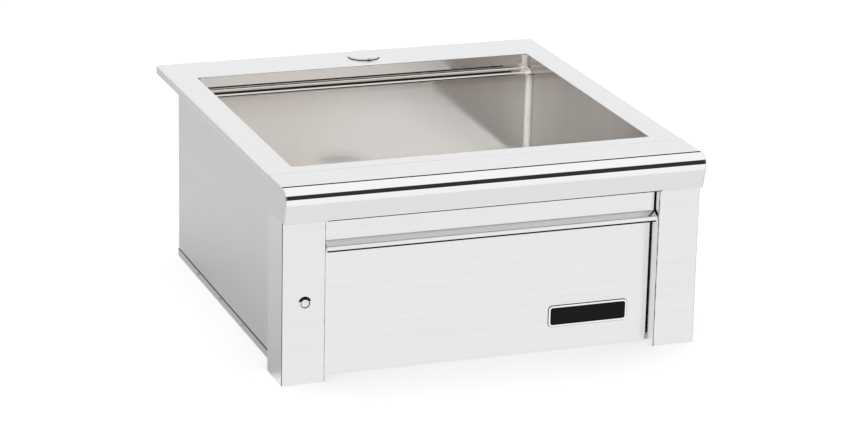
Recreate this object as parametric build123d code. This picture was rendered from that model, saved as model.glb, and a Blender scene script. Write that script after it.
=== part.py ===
from build123d import *
from math import cos, radians, sin, tan
import os

# A drop-in outdoor sink: a steel deck with a deep basin, a front frame of two posts under a rounded
# nose, and an access panel between the posts that tilts out on two pins at its foot.
# Millimetres, +Z up, the front faces -Y, and the origin is below the middle of the whole sink.

# Overall sizes
deck_width = 762.0
overall_height = 351.0
nose_reach = 20.5  # the nose stands this far in front of the posts
frame_depth = 80.0  # from the posts' face to the back of the front frame
deck_depth = 724.0  # from the front frame to the deck's back edge

# Sheets, bends and clearances
deck_sheet = 1.5
panel_sheet = 1.2
sheet_bend = 2.5
screw_clearance = 0.1
small_gap = 0.3
hex_sides = 6

# Deck
deck_edge = 16.0  # height of the turned-down edge
deck_return = 10.0  # width of the inward lip that rests on a worktop
deck_corner = 4.0
opening_corner = 2.0  # in the deck, over the basin's rounder corners
front_rim = 31.0  # deck between the front frame and the basin
side_rim = 50.5
back_ledge = 107.0

# Basin
floor_height = 126.0  # room for the drain between the base and the basin's floor
basin_sheet = 1.5
basin_flange = 12.0
ledge_drop = 29.5
ledge_width = 20.0
ledge_bend = 6.5
basin_corner = 12.0
floor_bend = 20.0
floor_fall = 5.0
pad_length = 240.0
pad_height = 90.0
pad_thickness = 3.0

# Tap hole and its cover
tap_hole_radius = 17.5
tap_hole_x = 18.0
tap_hole_from_back = 44.0
cover_radius = 31.0
cover_height = 3.5
cover_edge = 1.5
cover_stud_radius = 4.0
cover_stud_length = 42.0
cover_gasket_height = 1.0
cover_gasket_width = 8.0
backing_length = 150.0
backing_width = 48.0
backing_sheet = 2.5
wing_hub_radius = 9.0
wing_hub_height = 10.0
wing_span = 44.0
wing_height = 16.0
wing_thickness = 4.0
wing_drop = 1.0  # the wings start this far below the hub's top

# Front frame
strip_setback = 5.0  # joint between the nose and the top strip, behind the posts' face
seam_width = 0.5
nose_step = 1.0  # the nose's top lies this far below the deck's
nose_radius = 20.0
fascia_height = 60.5
fascia_tilt = 15.0
post_width = 77.0
post_return = 62.0
post_flange = 26.0
post_head_gap = 5.0
crossmember_setback = 53.0
crossmember_flange = 25.0

# Box under the deck
side_overhang = 18.5
box_clearance = 3.0
panel_top_flange = 14.0
panel_front_flange = 50.0
back_flange = 15.0
pan_edge = 14.0
pan_front_setback = 54.0
pan_front_lip = 20.0
service_width = 320.0
service_depth = 240.0
service_corner = 20.0

# Access panel and its pull
panel_setback = 29.0
panel_depth = 22.0
panel_side_gap = 2.5
panel_foot = 3.0
pull_head_gap = 7.5
strip_recess = 17.0
strip_height = 36.0
slope_drop = 7.0
lip_setback = 2.0
lip_height = 7.0
pull_top_return = 16.0
pull_tongue = 20.0

# Hinge at the access panel's foot
pin_radius = 2.5
pin_length = 14.0
pin_setback = 33.0
pin_height = 8.0
pin_fit = 0.05
bush_wall = 1.5
bush_length = 5.0
bush_flange_radius = 6.0
bush_flange = 1.0

# Magnet catches behind the access panel
catch_drop = 28.0  # from the panel's top to the middle of a catch
catch_width = 28.0
catch_tall = 20.0
magnet_thickness = 6.0
strike_thickness = 1.0
strike_gap = 0.5
bracket_reach = 34.0
bracket_leg = 9.0

# Name plate, left blank
plate_width = 150.0
plate_height = 40.0
plate_corner = 5.0
plate_frame = 3.5
plate_thickness = 2.0
plate_field_depth = 1.0
plate_bevel = 0.7
plate_from_side = 112.5
plate_z = 64.0

# Push button on the left post
button_from_side = 40.5
button_z = 145.5
bezel_radius = 11.5
bezel_height = 3.2
bezel_round = 2.4
barrel_wall = 1.4
barrel_length = 30.0
button_radius = 7.4
button_collar = 0.8  # the collar behind the bezel that keeps the button in
button_sunk = 0.6
button_length = 11.0
button_crown = 0.8
spring_wire = 0.8
spring_radius = 5.0
spring_pitch = 3.5
end_cap_thickness = 3.0
barb_radius = 2.0
barb_length = 10.0
button_nut_radius = 13.0
button_nut_height = 5.0

# Drain
drain_hole_radius = 45.0
drain_offset = 120.0
drain_recess_radius = 60.0
drain_recess_depth = 3.0
strainer_flange_radius = 57.0
strainer_flange_height = 2.4
strainer_radius = 41.5
strainer_wall = 2.0
strainer_depth = 48.0
strainer_mouth = 2.5
neck_radius = 24.0
neck_wall = 4.0
neck_length = 22.0
outlet_hole_radius = 4.5
outlet_circle = 13.0
outlet_count = 8
stem_hole_radius = 4.0
gasket_radius = 56.0
gasket_height = 4.0
washer_height = 1.2
locknut_radius = 51.0
locknut_height = 12.0
lug_count = 6
lug_length = 5.0
lug_width = 10.0
tailpiece_radius = 19.05
tailpiece_wall = 1.2
tailpiece_waist = 0.5  # the tube is this much slimmer inside the slip nut
tailpiece_end = 4.0
tailpiece_flange_radius = 23.0
tailpiece_flange = 2.0
slip_nut_wall = 4.5
slip_nut_web = 3.0
slip_nut_height = 21.0
slip_nut_sides = 8

# Strainer basket
basket_clearance = 0.8
basket_wall = 1.0
basket_top = 5.0  # below the strainer's seat
basket_depth = 32.0
basket_hole_radius = 2.6
basket_hole_count = 10
basket_row_count = 2
basket_floor_counts = (10, 6)
basket_floor_circles = (27.0, 16.0)
stem_radius = 3.0
stem_tail = 9.0
stopper_radius = 22.0
stopper_round = 2.5
knob_radius = 8.0
knob_height = 7.0
knob_round = 2.3

# Screws
screw_radius = 2.0
screw_length = 9.0
screw_head_radius = 3.6
screw_head_height = 2.0
screw_head_round = 1.2
screw_socket_radius = 1.3
screw_socket_depth = 1.0
pan_screw_first = 287.0
pan_screw_pitch = 143.5
pan_screw_count = 3
pan_screw_drop = 4.0
back_screw_pitch = 220.0
post_screw_first = 60.0
post_screw_pitch = 115.0
post_screw_count = 3

# Planes that the pieces share
overall_depth = nose_reach + frame_depth + deck_depth
face_y = nose_reach - overall_depth / 2
frame_back_y = face_y + frame_depth
deck_back_y = frame_back_y + deck_depth
top_z = overall_height
deck_under_z = top_z - deck_sheet
deck_half = deck_width / 2
open_half = deck_half - side_rim
open_front_y = frame_back_y + front_rim
open_back_y = deck_back_y - back_ledge
basin_y = (open_front_y + open_back_y) / 2
drain_y = basin_y + drain_offset
ledge_z = top_z - ledge_drop
floor_z = floor_height
seat_z = floor_z - floor_fall - drain_recess_depth
basin_under_z = seat_z - basin_sheet
nose_top_z = top_z - nose_step
fascia_z = top_z - fascia_height
post_inner_x = deck_half - post_width
box_half = deck_half - side_overhang
box_back_y = open_back_y + basin_flange + box_clearance
panel_half = post_inner_x - panel_side_gap
panel_y = face_y + panel_setback
panel_back_y = panel_y + panel_depth
pull_top_z = fascia_z - pull_head_gap
slope_top_z = pull_top_z - strip_height
lip_top_z = slope_top_z - slope_drop
panel_top_z = lip_top_z - lip_height
tap_hole_y = deck_back_y - tap_hole_from_back
button_x = deck_half - button_from_side
plate_x = panel_half - plate_from_side
post_back_y = face_y + post_return
margin = 5.0  # how far a cutting tool runs past what it cuts

OUTWARD = Plane(origin=(0, 0, 0), x_dir=(0, 1, 0), z_dir=(1, 0, 0))
BACKWARD = Plane(origin=(0, 0, 0), x_dir=(-1, 0, 0), z_dir=(0, 1, 0))


def block(xs, ys, zs):
    """A box between a low and a high limit on each axis."""
    size = Box(xs[1] - xs[0], ys[1] - ys[0], zs[1] - zs[0], align=(Align.MIN, Align.MIN, Align.MIN))
    return Pos(xs[0], ys[0], zs[0]) * size


def post_and_ring(radius, low, high, bore=0.0):
    """An upright round bar, or a ring where it has a bore, between two heights."""
    bar = Pos(0, 0, low) * Cylinder(radius, high - low, align=(Align.CENTER, Align.CENTER, Align.MIN))
    if bore:
        bar -= Pos(0, 0, low) * Cylinder(bore, high - low, align=(Align.CENTER, Align.CENTER, Align.MIN))
    return bar


def turned(points):
    """A solid turned about Z from a closed outline of radius and height."""
    return revolve(Plane.XZ * make_face(Polyline(*points, close=True)), axis=Axis.Z)


def between(outline, low_x, high_x):
    """A solid with an outline in Y and Z, between two places along X."""
    return extrude(Pos(low_x, 0, 0) * (OUTWARD * outline), amount=high_x - low_x)


def other_side(right):
    """The mirror image of a piece on the right."""
    return mirror(right, about=Plane.YZ)


def group(solids):
    """Several solids that share one name."""
    return Compound(children=list(solids))


def both_sides(right):
    """A piece on the right with its mirror image on the left."""
    return group([right, other_side(right)])


def screw():
    """A domed socket screw along Z, with the underside of its head at the origin."""
    head = post_and_ring(screw_head_radius, 0, screw_head_height)
    head = fillet(head.edges().group_by(Axis.Z)[-1], screw_head_round)
    shank = post_and_ring(screw_radius, -screw_length, 0)
    socket = RegularPolygon(screw_socket_radius, hex_sides)
    return head + shank - Pos(0, 0, screw_head_height) * extrude(socket, amount=-screw_socket_depth)


def screw_hole():
    """The clearance hole of a screw, along Z and past both ends of it."""
    return Cylinder(screw_radius + screw_clearance, 2 * (screw_length + margin))


def pan_screw_places():
    """Where screws join the bottom pan's right edge to the side panel, heads outwards."""
    height = pan_edge - pan_screw_drop
    for index in range(pan_screw_count):
        y = face_y + pan_screw_first + index * pan_screw_pitch
        yield Plane(origin=(box_half + panel_sheet, y, height), x_dir=(0, 1, 0), z_dir=(1, 0, 0))


def back_screw_places():
    """Where screws join the bottom pan's back edge to the back panel."""
    height = pan_edge - pan_screw_drop
    for index in (-1, 0, 1):
        x = index * back_screw_pitch
        yield Plane(origin=(x, box_back_y + panel_sheet, height), x_dir=(-1, 0, 0), z_dir=(0, 1, 0))


def post_screw_places():
    """Where screws join the right side panel's front flange to the post."""
    x = (post_inner_x + post_flange + box_half - panel_front_flange) / 2
    for index in range(post_screw_count):
        z = post_screw_first + index * post_screw_pitch
        yield Plane(origin=(x, post_back_y + panel_sheet, z), x_dir=(-1, 0, 0), z_dir=(0, 1, 0))


def cut_holes(piece, places):
    """A piece with screw holes cut at each place."""
    for place in places:
        piece -= place * screw_hole()
    return piece


# Deck and basin


def opening_outline(grow, corner):
    """The basin's opening as a rounded rectangle, grown on every side."""
    width = 2 * (open_half + grow)
    depth = open_back_y - open_front_y + 2 * grow
    return Pos(0, basin_y) * RectangleRounded(width, depth, corner)


def make_deck_plate():
    """The deck sheet: a turned-down edge on three sides ends in a lip that rests on a worktop."""
    ys = (frame_back_y, deck_back_y)
    deck = block((-deck_half, deck_half), ys, (top_z - deck_edge, top_z))
    corners = deck.edges().filter_by(Axis.Z).group_by(Axis.Y)[-1]
    deck = fillet(corners, deck_corner)
    brim = deck.faces().sort_by(Axis.Z)[-1].edges()
    front = brim.sort_by(Axis.Y)[0]
    deck = fillet([edge for edge in brim if edge != front], sheet_bend)
    inner_x = deck_half - deck_sheet
    hollow_ys = (frame_back_y - margin, deck_back_y - deck_sheet)
    deck -= block((-inner_x, inner_x), hollow_ys, (top_z - deck_edge + deck_sheet, deck_under_z))
    lip_x = deck_half - deck_return
    lip_ys = (frame_back_y - margin, deck_back_y - deck_return)
    deck -= block((-lip_x, lip_x), lip_ys, (top_z - deck_edge - margin, deck_under_z))
    opening = extrude(opening_outline(0, opening_corner), amount=deck_sheet + 2 * margin)
    deck -= Pos(0, 0, deck_under_z - margin) * opening
    return deck - Pos(tap_hole_x, tap_hole_y, top_z) * Cylinder(tap_hole_radius, 2 * margin)


def basin_space(grow, head):
    """The space inside the basin, grown by a wall: ledges front and back, rounded all over."""
    front = open_front_y - grow
    back = open_back_y + grow
    wall_front = open_front_y + ledge_width - grow
    wall_back = open_back_y - ledge_width + grow
    ledge = ledge_z - grow
    floor = floor_z - grow
    bend = ledge_bend - grow
    foot = floor_bend + grow
    outline = make_face(
        [
            Line((front, head), (front, ledge)),
            Line((front, ledge), (wall_front - bend, ledge)),
            CenterArc((wall_front - bend, ledge - bend), bend, 0, 90),
            Line((wall_front, ledge - bend), (wall_front, floor + foot)),
            CenterArc((wall_front + foot, floor + foot), foot, 180, 90),
            Line((wall_front + foot, floor), (wall_back - foot, floor)),
            CenterArc((wall_back - foot, floor + foot), foot, 270, 90),
            Line((wall_back, floor + foot), (wall_back, ledge - bend)),
            CenterArc((wall_back + bend, ledge - bend), bend, 90, 90),
            Line((wall_back + bend, ledge), (back, ledge)),
            Line((back, ledge), (back, head)),
            Line((back, head), (front, head)),
        ]
    )
    half = open_half + grow
    space = between(outline, -half, half)
    ends = space.faces().sort_by(Axis.X)
    edges = [*ends[0].edges(), *ends[-1].edges()]
    space = fillet([edge for edge in edges if edge.center().Z < head - margin], basin_corner + grow)
    fall_radius = min(half, (wall_back - wall_front) / 2 - drain_offset) - foot
    recess = drain_recess_radius + grow
    low = floor - floor_fall
    dish = turned([(0, floor), (fall_radius, floor), (recess, low), (0, low)])
    space += Pos(0, drain_y, 0) * dish
    return space + Pos(0, drain_y, 0) * post_and_ring(recess, low - drain_recess_depth, low)


def skin_and_mouth(space):
    """The faces of a space without its flat top, and the outline of that top."""
    *skin, top = space.faces().sort_by(Axis.Z)
    return skin, top.outer_wire()


def make_basin():
    """The basin: an inner and an outer skin, joined by the flange that hangs under the deck."""
    flange_z = deck_under_z - basin_sheet
    outer, outer_mouth = skin_and_mouth(basin_space(basin_sheet, flange_z))
    inner, inner_mouth = skin_and_mouth(basin_space(0, deck_under_z))
    flange_outline = opening_outline(basin_flange, basin_corner + basin_flange)
    flange = Pos(0, 0, flange_z) * extrude(flange_outline, amount=basin_sheet)
    under, *edges, top = flange.faces().sort_by(Axis.Z)
    rim = [Face(top.outer_wire(), [inner_mouth]), Face(under.outer_wire(), [outer_mouth]), *edges]
    basin = Solid(Shell([*outer, *inner, *rim]))
    return basin - Pos(0, drain_y, seat_z) * Cylinder(drain_hole_radius, 2 * margin)


def make_sound_pad():
    """A sound-deadening pad on the basin's right wall."""
    wall_x = open_half + basin_sheet
    middle_z = (ledge_z + floor_z) / 2
    ys = (basin_y - pad_length / 2, basin_y + pad_length / 2)
    zs = (middle_z - pad_height / 2, middle_z + pad_height / 2)
    return block((wall_x, wall_x + pad_thickness), ys, zs)


def make_tap_hole_cover():
    """A round cover over the tap hole, with a stud below."""
    seat = top_z + cover_gasket_height
    disc = post_and_ring(cover_radius, seat, seat + cover_height)
    disc = fillet(disc.edges().group_by(Axis.Z)[-1], cover_edge)
    disc += post_and_ring(cover_stud_radius, seat - cover_stud_length, seat)
    return Pos(tap_hole_x, tap_hole_y, 0) * disc


def make_cover_gasket():
    """A rubber ring between the cover and the deck."""
    ring = post_and_ring(cover_radius - cover_edge, top_z, top_z + cover_gasket_height,
                         cover_radius - cover_edge - cover_gasket_width)
    return Pos(tap_hole_x, tap_hole_y, 0) * ring


def make_tap_hole_backing_plate():
    """A plate under the deck that the cover, or a tap, is clamped to."""
    outline = RectangleRounded(backing_length, backing_width, deck_corner)
    outline -= Circle(cover_stud_radius + small_gap)
    plate = extrude(outline, amount=backing_sheet)
    return Pos(tap_hole_x, tap_hole_y, deck_under_z - backing_sheet) * plate


def make_cover_wing_nut():
    """A wing nut that draws the cover down on the backing plate."""
    top = deck_under_z - backing_sheet
    nut = post_and_ring(wing_hub_radius, top - wing_hub_height, top)
    across = (-wing_span / 2, wing_span / 2)
    through = (-wing_thickness / 2, wing_thickness / 2)
    wing = block(across, through, (top - wing_height, top - wing_drop))
    wing = fillet(wing.edges().filter_by(Axis.Y), wing_thickness)
    nut += wing
    nut -= Pos(0, 0, top) * Cylinder(cover_stud_radius + small_gap, 2 * (wing_height + margin))
    return Pos(tap_hole_x, tap_hole_y, 0) * nut


# Front frame


def nose_centre():
    """The middle of the nose's round, as a point in Y and Z."""
    return (face_y - nose_reach + nose_radius, nose_top_z - nose_radius)


def nose_end(radius):
    """Where the nose's round of some radius runs into the sloping face."""
    y, z = nose_centre()
    tilt = radians(fascia_tilt)
    return (y - radius * cos(tilt), z - radius * sin(tilt))


def fascia_foot(radius, z):
    """Where the sloping face reaches a height."""
    y, start_z = nose_end(radius)
    return (y + (start_z - z) * tan(radians(fascia_tilt)), z)


def nose_round(radius):
    """The nose's round, from its top to the sloping face."""
    return CenterArc(nose_centre(), radius, 90, 90 + fascia_tilt)


def make_front_nose():
    """The rounded nose and its sloping face, one bent sheet with a lip back to the posts."""
    inner = nose_radius - deck_sheet
    crown_y = nose_centre()[0]
    edge_y = face_y + strip_setback - seam_width
    under_z = nose_top_z - deck_sheet
    lip_z = fascia_z + deck_sheet
    outline = make_face(
        [
            Line((edge_y, nose_top_z), (crown_y, nose_top_z)),
            nose_round(nose_radius),
            Line(nose_end(nose_radius), fascia_foot(nose_radius, fascia_z)),
            Line(fascia_foot(nose_radius, fascia_z), (face_y, fascia_z)),
            Line((face_y, fascia_z), (face_y, lip_z)),
            Line((face_y, lip_z), fascia_foot(inner, lip_z)),
            Line(fascia_foot(inner, lip_z), nose_end(inner)),
            nose_round(inner),
            Line((crown_y, under_z), (edge_y, under_z)),
            Line((edge_y, under_z), (edge_y, nose_top_z)),
        ]
    )
    half = deck_half - deck_sheet
    return between(outline, -half, half)


def make_nose_end_cap():
    """The plate that closes the nose's right end, flush with the post's side."""
    crown_y = nose_centre()[0]
    step_y = face_y + strip_setback
    outline = make_face(
        [
            Line((frame_back_y, top_z), (step_y, top_z)),
            Line((step_y, top_z), (step_y, nose_top_z)),
            Line((step_y, nose_top_z), (crown_y, nose_top_z)),
            nose_round(nose_radius),
            Line(nose_end(nose_radius), fascia_foot(nose_radius, fascia_z)),
            Line(fascia_foot(nose_radius, fascia_z), (frame_back_y, fascia_z)),
            Line((frame_back_y, fascia_z), (frame_back_y, top_z)),
        ]
    )
    return between(outline, deck_half - deck_sheet, deck_half)


def make_front_top_strip():
    """The strip that carries the deck's surface to the nose."""
    half = deck_half - deck_sheet
    return block((-half, half), (face_y + strip_setback, frame_back_y), (deck_under_z, top_z))


def make_post():
    """The right post: a channel with a long outer side, an inner side and a flange at its back."""
    sheet = deck_sheet
    shell = block((post_inner_x, deck_half), (face_y, frame_back_y), (0, fascia_z))
    shell = fillet(shell.edges().filter_by(Axis.Z).group_by(Axis.Y)[0], sheet_bend)
    inside = (post_inner_x + sheet, deck_half - sheet)
    shell -= block(inside, (face_y + sheet, frame_back_y + margin), (-margin, top_z))
    behind_ys = (post_back_y, frame_back_y + margin)
    shell -= block((post_inner_x - margin, inside[0]), behind_ys, (-margin, top_z))
    head_z = deck_under_z - post_head_gap
    shell += block((post_inner_x, inside[1]), (face_y, face_y + sheet), (fascia_z, head_z))
    side = (post_inner_x, inside[0])
    shell += block(side, (face_y + sheet, face_y + strip_setback), (fascia_z, head_z))
    shell += block(side, (face_y + strip_setback, post_back_y), (fascia_z, deck_under_z))
    flange_x = (post_inner_x, post_inner_x + post_flange)
    shell += block(flange_x, (post_back_y - sheet, post_back_y), (0, deck_under_z))
    shell = cut_holes(shell, post_screw_places())
    bush = Cylinder(pin_radius + pin_fit + bush_wall + pin_fit, 2 * margin)
    return shell - Pos(post_inner_x, face_y + pin_setback, pin_height) * (OUTWARD * bush)


def make_post_left():
    """The left post, with a hole for the push button."""
    barrel = button_barrel_radius() + screw_clearance
    hole = Pos(-button_x, face_y, button_z) * (BACKWARD * Cylinder(barrel, 2 * margin))
    return other_side(make_post()) - hole


def make_front_crossmember():
    """A channel between the posts: it carries the top strip and closes the space above the panel."""
    y = face_y + crossmember_setback
    xs = (-post_inner_x, post_inner_x)
    web = block(xs, (y, y + panel_sheet), (fascia_z, deck_under_z))
    soffit = block(xs, (face_y, y), (fascia_z, fascia_z + panel_sheet))
    return web + soffit + block(xs, (y - crossmember_flange, y), (deck_under_z - panel_sheet, deck_under_z))


# Box under the deck


def make_side_panel():
    """The right side panel, with flanges to the deck and to the post."""
    inner_x = box_half - panel_sheet
    panel = block((inner_x, box_half), (post_back_y, box_back_y), (panel_sheet, deck_under_z))
    top_zs = (deck_under_z - panel_sheet, deck_under_z)
    panel += block((box_half, box_half + panel_top_flange), (frame_back_y + margin, box_back_y), top_zs)
    front_xs = (box_half - panel_front_flange, inner_x)
    front_ys = (post_back_y, post_back_y + panel_sheet)
    panel += block(front_xs, front_ys, (panel_sheet, deck_under_z - panel_sheet))
    return cut_holes(panel, [*pan_screw_places(), *post_screw_places()])


def make_back_panel():
    """The back panel, flanged to the side panels and to the deck."""
    half = box_half - panel_sheet
    front_y = box_back_y - panel_sheet
    panel = block((-half, half), (front_y, box_back_y), (panel_sheet, deck_under_z))
    top_zs = (deck_under_z - panel_sheet, deck_under_z)
    panel += block((-half, half), (box_back_y, box_back_y + panel_top_flange), top_zs)
    side = block((half - panel_sheet, half), (front_y - back_flange, front_y), (pan_edge, ledge_z))
    panel += side + other_side(side)
    return cut_holes(panel, back_screw_places())


def make_bottom_pan():
    """The bottom pan: its edges turn up outside the panels, and its middle is open to the pipes."""
    full_y = post_back_y + panel_sheet
    front_y = face_y + pan_front_setback
    floor_zs = (0, panel_sheet)
    pan = block((-box_half, box_half), (full_y, box_back_y), floor_zs)
    pan += block((-panel_half, panel_half), (front_y, full_y), floor_zs)
    pan += block((-panel_half, panel_half), (front_y, front_y + panel_sheet), (0, pan_front_lip))
    edge = block((box_half, box_half + panel_sheet), (full_y, box_back_y + panel_sheet), (0, pan_edge))
    pan += edge + other_side(edge)
    pan += block((-box_half, box_half), (box_back_y, box_back_y + panel_sheet), (0, pan_edge))
    service = RectangleRounded(service_width, service_depth, service_corner)
    pan -= Pos(0, drain_y, -margin) * extrude(service, amount=2 * margin)
    sides = list(pan_screw_places())
    pan = cut_holes(pan, [*sides, *back_screw_places()])
    return other_side(cut_holes(other_side(pan), sides))


def make_pan_screws():
    """The screws along the bottom pan's sides and back."""
    right = [place * screw() for place in pan_screw_places()]
    back = [place * screw() for place in back_screw_places()]
    return group([*right, *[other_side(solid) for solid in right], *back])


def make_post_screws():
    """The screws that hold the side panels to the posts."""
    right = [place * screw() for place in post_screw_places()]
    return group([*right, *[other_side(solid) for solid in right]])


# Access panel


def make_front_panel():
    """The access panel's front sheet, folded back at its sides and foot."""
    shell = block((-panel_half, panel_half), (panel_y, panel_back_y), (panel_foot, panel_top_z))
    shell = fillet(shell.edges().filter_by(Axis.Z).group_by(Axis.Y)[0], sheet_bend)
    inner_x = panel_half - panel_sheet
    hollow_ys = (panel_y + panel_sheet, panel_back_y + margin)
    shell -= block((-inner_x, inner_x), hollow_ys, (panel_foot + panel_sheet, panel_top_z + margin))
    pins = Cylinder(pin_radius + pin_fit, 2 * (panel_half + margin))
    return shell - Pos(0, face_y + pin_setback, pin_height) * (OUTWARD * pins)


def make_front_panel_back_plate():
    """The plate that closes the back and the top of the access panel."""
    half = panel_half - panel_sheet
    low_z = panel_foot + panel_sheet
    plate = block((-half, half), (panel_back_y - panel_sheet, panel_back_y), (low_z, panel_top_z))
    top_ys = (panel_y + 2 * panel_sheet, panel_back_y - panel_sheet)
    return plate + block((-half, half), top_ys, (panel_top_z - panel_sheet, panel_top_z))


def pull_path():
    """The outer side of the pull, from its top to the tongue behind the panel."""
    strip_y = face_y + strip_recess
    lip_y = face_y + lip_setback
    tongue_y = panel_y + panel_sheet
    return [
        (strip_y + pull_top_return, pull_top_z),
        (strip_y, pull_top_z),
        (strip_y, slope_top_z),
        (lip_y, lip_top_z),
        (lip_y, panel_top_z),
        (tongue_y, panel_top_z),
        (tongue_y, panel_top_z - pull_tongue),
    ]


def make_pull_rail():
    """The full-width pull: a strip, a slope and a lip, bent from one sheet."""
    path = Polyline(*pull_path())
    sheet = offset(path, panel_sheet, kind=Kind.INTERSECTION, side=Side.LEFT, closed=True)
    half = panel_half - panel_sheet
    return between(make_face(sheet.edges()), -half, half)


def make_pull_end_caps():
    """The plates that close the pull's ends."""
    points = pull_path()[:-2]
    points.append((points[0][0], panel_top_z))
    cap = between(make_face(Polyline(*points, close=True)), panel_half - panel_sheet, panel_half)
    return both_sides(cap)


def make_hinge_pins():
    """The pins at the access panel's foot, one at each side."""
    low_x = post_inner_x + deck_sheet + bush_length - pin_length
    pin = Cylinder(pin_radius, pin_length, align=(Align.CENTER, Align.CENTER, Align.MIN))
    return both_sides(Pos(low_x, face_y + pin_setback, pin_height) * (OUTWARD * pin))


def make_hinge_bushes():
    """The flanged bushes in the posts that the pins turn in."""
    bore = pin_radius + pin_fit
    sleeve = post_and_ring(bore + bush_wall, -bush_flange, bush_length, bore)
    flange = post_and_ring(bush_flange_radius, -bush_flange, 0, bore)
    bush = OUTWARD * (sleeve + flange)
    return both_sides(Pos(post_inner_x, face_y + pin_setback, pin_height) * bush)


def catch_span():
    """The limits of the right catch across and in height."""
    high_x = panel_half - panel_sheet
    low_z = panel_top_z - catch_drop - catch_tall / 2
    return (high_x - catch_width, high_x), (low_z, low_z + catch_tall)


def make_strike_plates():
    """Steel plates on the access panel's back, which the magnets hold."""
    xs, zs = catch_span()
    return both_sides(block(xs, (panel_back_y, panel_back_y + strike_thickness), zs))


def magnet_back_y():
    """Where the magnets end and their brackets begin."""
    return panel_back_y + strike_thickness + strike_gap + magnet_thickness


def make_magnet_catches():
    """The magnets that hold the access panel shut."""
    xs, zs = catch_span()
    return both_sides(block(xs, (magnet_back_y() - magnet_thickness, magnet_back_y()), zs))


def make_magnet_brackets():
    """Angle brackets that carry the magnets on the posts' inner sides."""
    zs = catch_span()[1]
    y = magnet_back_y()
    arm = block((post_inner_x - bracket_reach, post_inner_x), (y, y + deck_sheet), zs)
    leg = block((post_inner_x - deck_sheet, post_inner_x), (y - bracket_leg, y), zs)
    return both_sides(arm + leg)


def name_plate(width, height, corner):
    """A rounded rectangle on the access panel's face."""
    outline = RectangleRounded(width, height, corner)
    return Pos(plate_x, panel_y, plate_z) * (Plane.XZ * outline)


def field_outline():
    """The blank field's outline inside the frame."""
    border = 2 * plate_frame
    return name_plate(plate_width - border, plate_height - border, plate_corner - plate_frame / 2)


def make_name_plate_frame():
    """The raised bright frame of the blank name plate."""
    frame = extrude(name_plate(plate_width, plate_height, plate_corner), amount=plate_thickness)
    frame = chamfer(frame.faces().sort_by(Axis.Y)[0].edges(), plate_bevel)
    return frame - extrude(field_outline(), amount=plate_thickness)


def make_name_plate_field():
    """The blank dark field inside the frame."""
    return extrude(field_outline(), amount=plate_field_depth)


# Push button


def barrel_bore():
    """The radius inside the push button's barrel, behind the bezel."""
    return button_radius + button_collar + small_gap


def button_barrel_radius():
    """The outer radius of the push button's barrel."""
    return barrel_bore() + barrel_wall


def at_button(piece):
    """A piece made along Z, with its back upwards, set on the left post's face."""
    return Pos(-button_x, face_y, button_z) * (BACKWARD * piece)


def make_button_bezel():
    """The bezel with its barrel through the post."""
    flange = post_and_ring(bezel_radius, -bezel_height, 0, button_radius + small_gap)
    flange = fillet(flange.edges().group_by(Axis.Z)[0].sort_by(SortBy.LENGTH)[-1], bezel_round)
    return at_button(flange + post_and_ring(button_barrel_radius(), 0, barrel_length, barrel_bore()))


def make_push_button():
    """The button's cap: a collar keeps it in, and its hollow back takes the spring."""
    low = button_sunk - bezel_height
    high = low + button_length
    cap = post_and_ring(button_radius, low, high)
    cap = fillet(cap.edges().group_by(Axis.Z)[0], button_crown)
    cap += post_and_ring(button_radius + button_collar, small_gap, high)
    pocket = spring_radius + spring_wire + small_gap
    return at_button(cap - post_and_ring(pocket, low + button_length / 2, high + margin))


def make_button_spring():
    """The coil spring behind the button."""
    low = button_sunk - bezel_height + button_length / 2
    high = barrel_length - end_cap_thickness
    path = Helix(spring_pitch, high - low - spring_wire, spring_radius)
    wire = Plane(origin=path @ 0, z_dir=path % 0) * Circle(spring_wire / 2)
    coil = sweep(wire, path, is_frenet=True)
    return at_button(Pos(0, 0, low + spring_wire / 2) * coil)


def make_button_end_cap():
    """The cap that closes the barrel, with a barb for an air tube."""
    inner_z = barrel_length - end_cap_thickness
    tip_z = barrel_length + barb_length
    cap = post_and_ring(barrel_bore(), inner_z, barrel_length)
    cap += post_and_ring(barb_radius, barrel_length, tip_z)
    return at_button(cap - post_and_ring(barb_radius / 2, inner_z, tip_z))


def make_button_locknut():
    """The six-sided nut that clamps the bezel to the post."""
    nut = extrude(RegularPolygon(button_nut_radius, hex_sides), amount=button_nut_height)
    bore = button_barrel_radius() + screw_clearance
    nut -= post_and_ring(bore, -margin, button_nut_height + margin)
    return at_button(Pos(0, 0, deck_sheet) * nut)


# Drain


def at_drain(piece, height=0.0):
    """A piece made about Z, set on the drain's axis."""
    return Pos(0, drain_y, height) * piece


def make_strainer_body():
    """The strainer: a flanged cup in the basin's floor, with outlet holes and a neck below."""
    inner = strainer_radius - strainer_wall
    low = -strainer_depth
    under = low - strainer_wall
    neck_end = under - neck_length
    edge = strainer_flange_height / 2
    body = turned(
        [
            (0, low),
            (inner, low),
            (inner, -strainer_mouth),
            (inner + strainer_mouth, edge),
            (strainer_flange_radius - strainer_mouth, strainer_flange_height),
            (strainer_flange_radius, edge),
            (strainer_flange_radius, 0),
            (strainer_radius, 0),
            (strainer_radius, under),
            (neck_radius, under),
            (neck_radius, neck_end),
            (neck_radius - neck_wall, neck_end),
            (neck_radius - neck_wall, under),
            (0, under),
        ]
    )
    drill = Pos(0, 0, low) * Cylinder(outlet_hole_radius, 2 * margin)
    for place in PolarLocations(outlet_circle, outlet_count):
        body -= place * drill
    body -= Pos(0, 0, low) * Cylinder(stem_hole_radius, 2 * margin)
    return at_drain(body, seat_z)


def neck_end_z():
    """The height of the strainer neck's lower end."""
    return seat_z - strainer_depth - strainer_wall - neck_length


def make_strainer_gasket():
    """The rubber gasket under the basin's floor."""
    ring = post_and_ring(gasket_radius, -gasket_height, 0, strainer_radius + small_gap)
    return at_drain(ring, basin_under_z)


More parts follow.
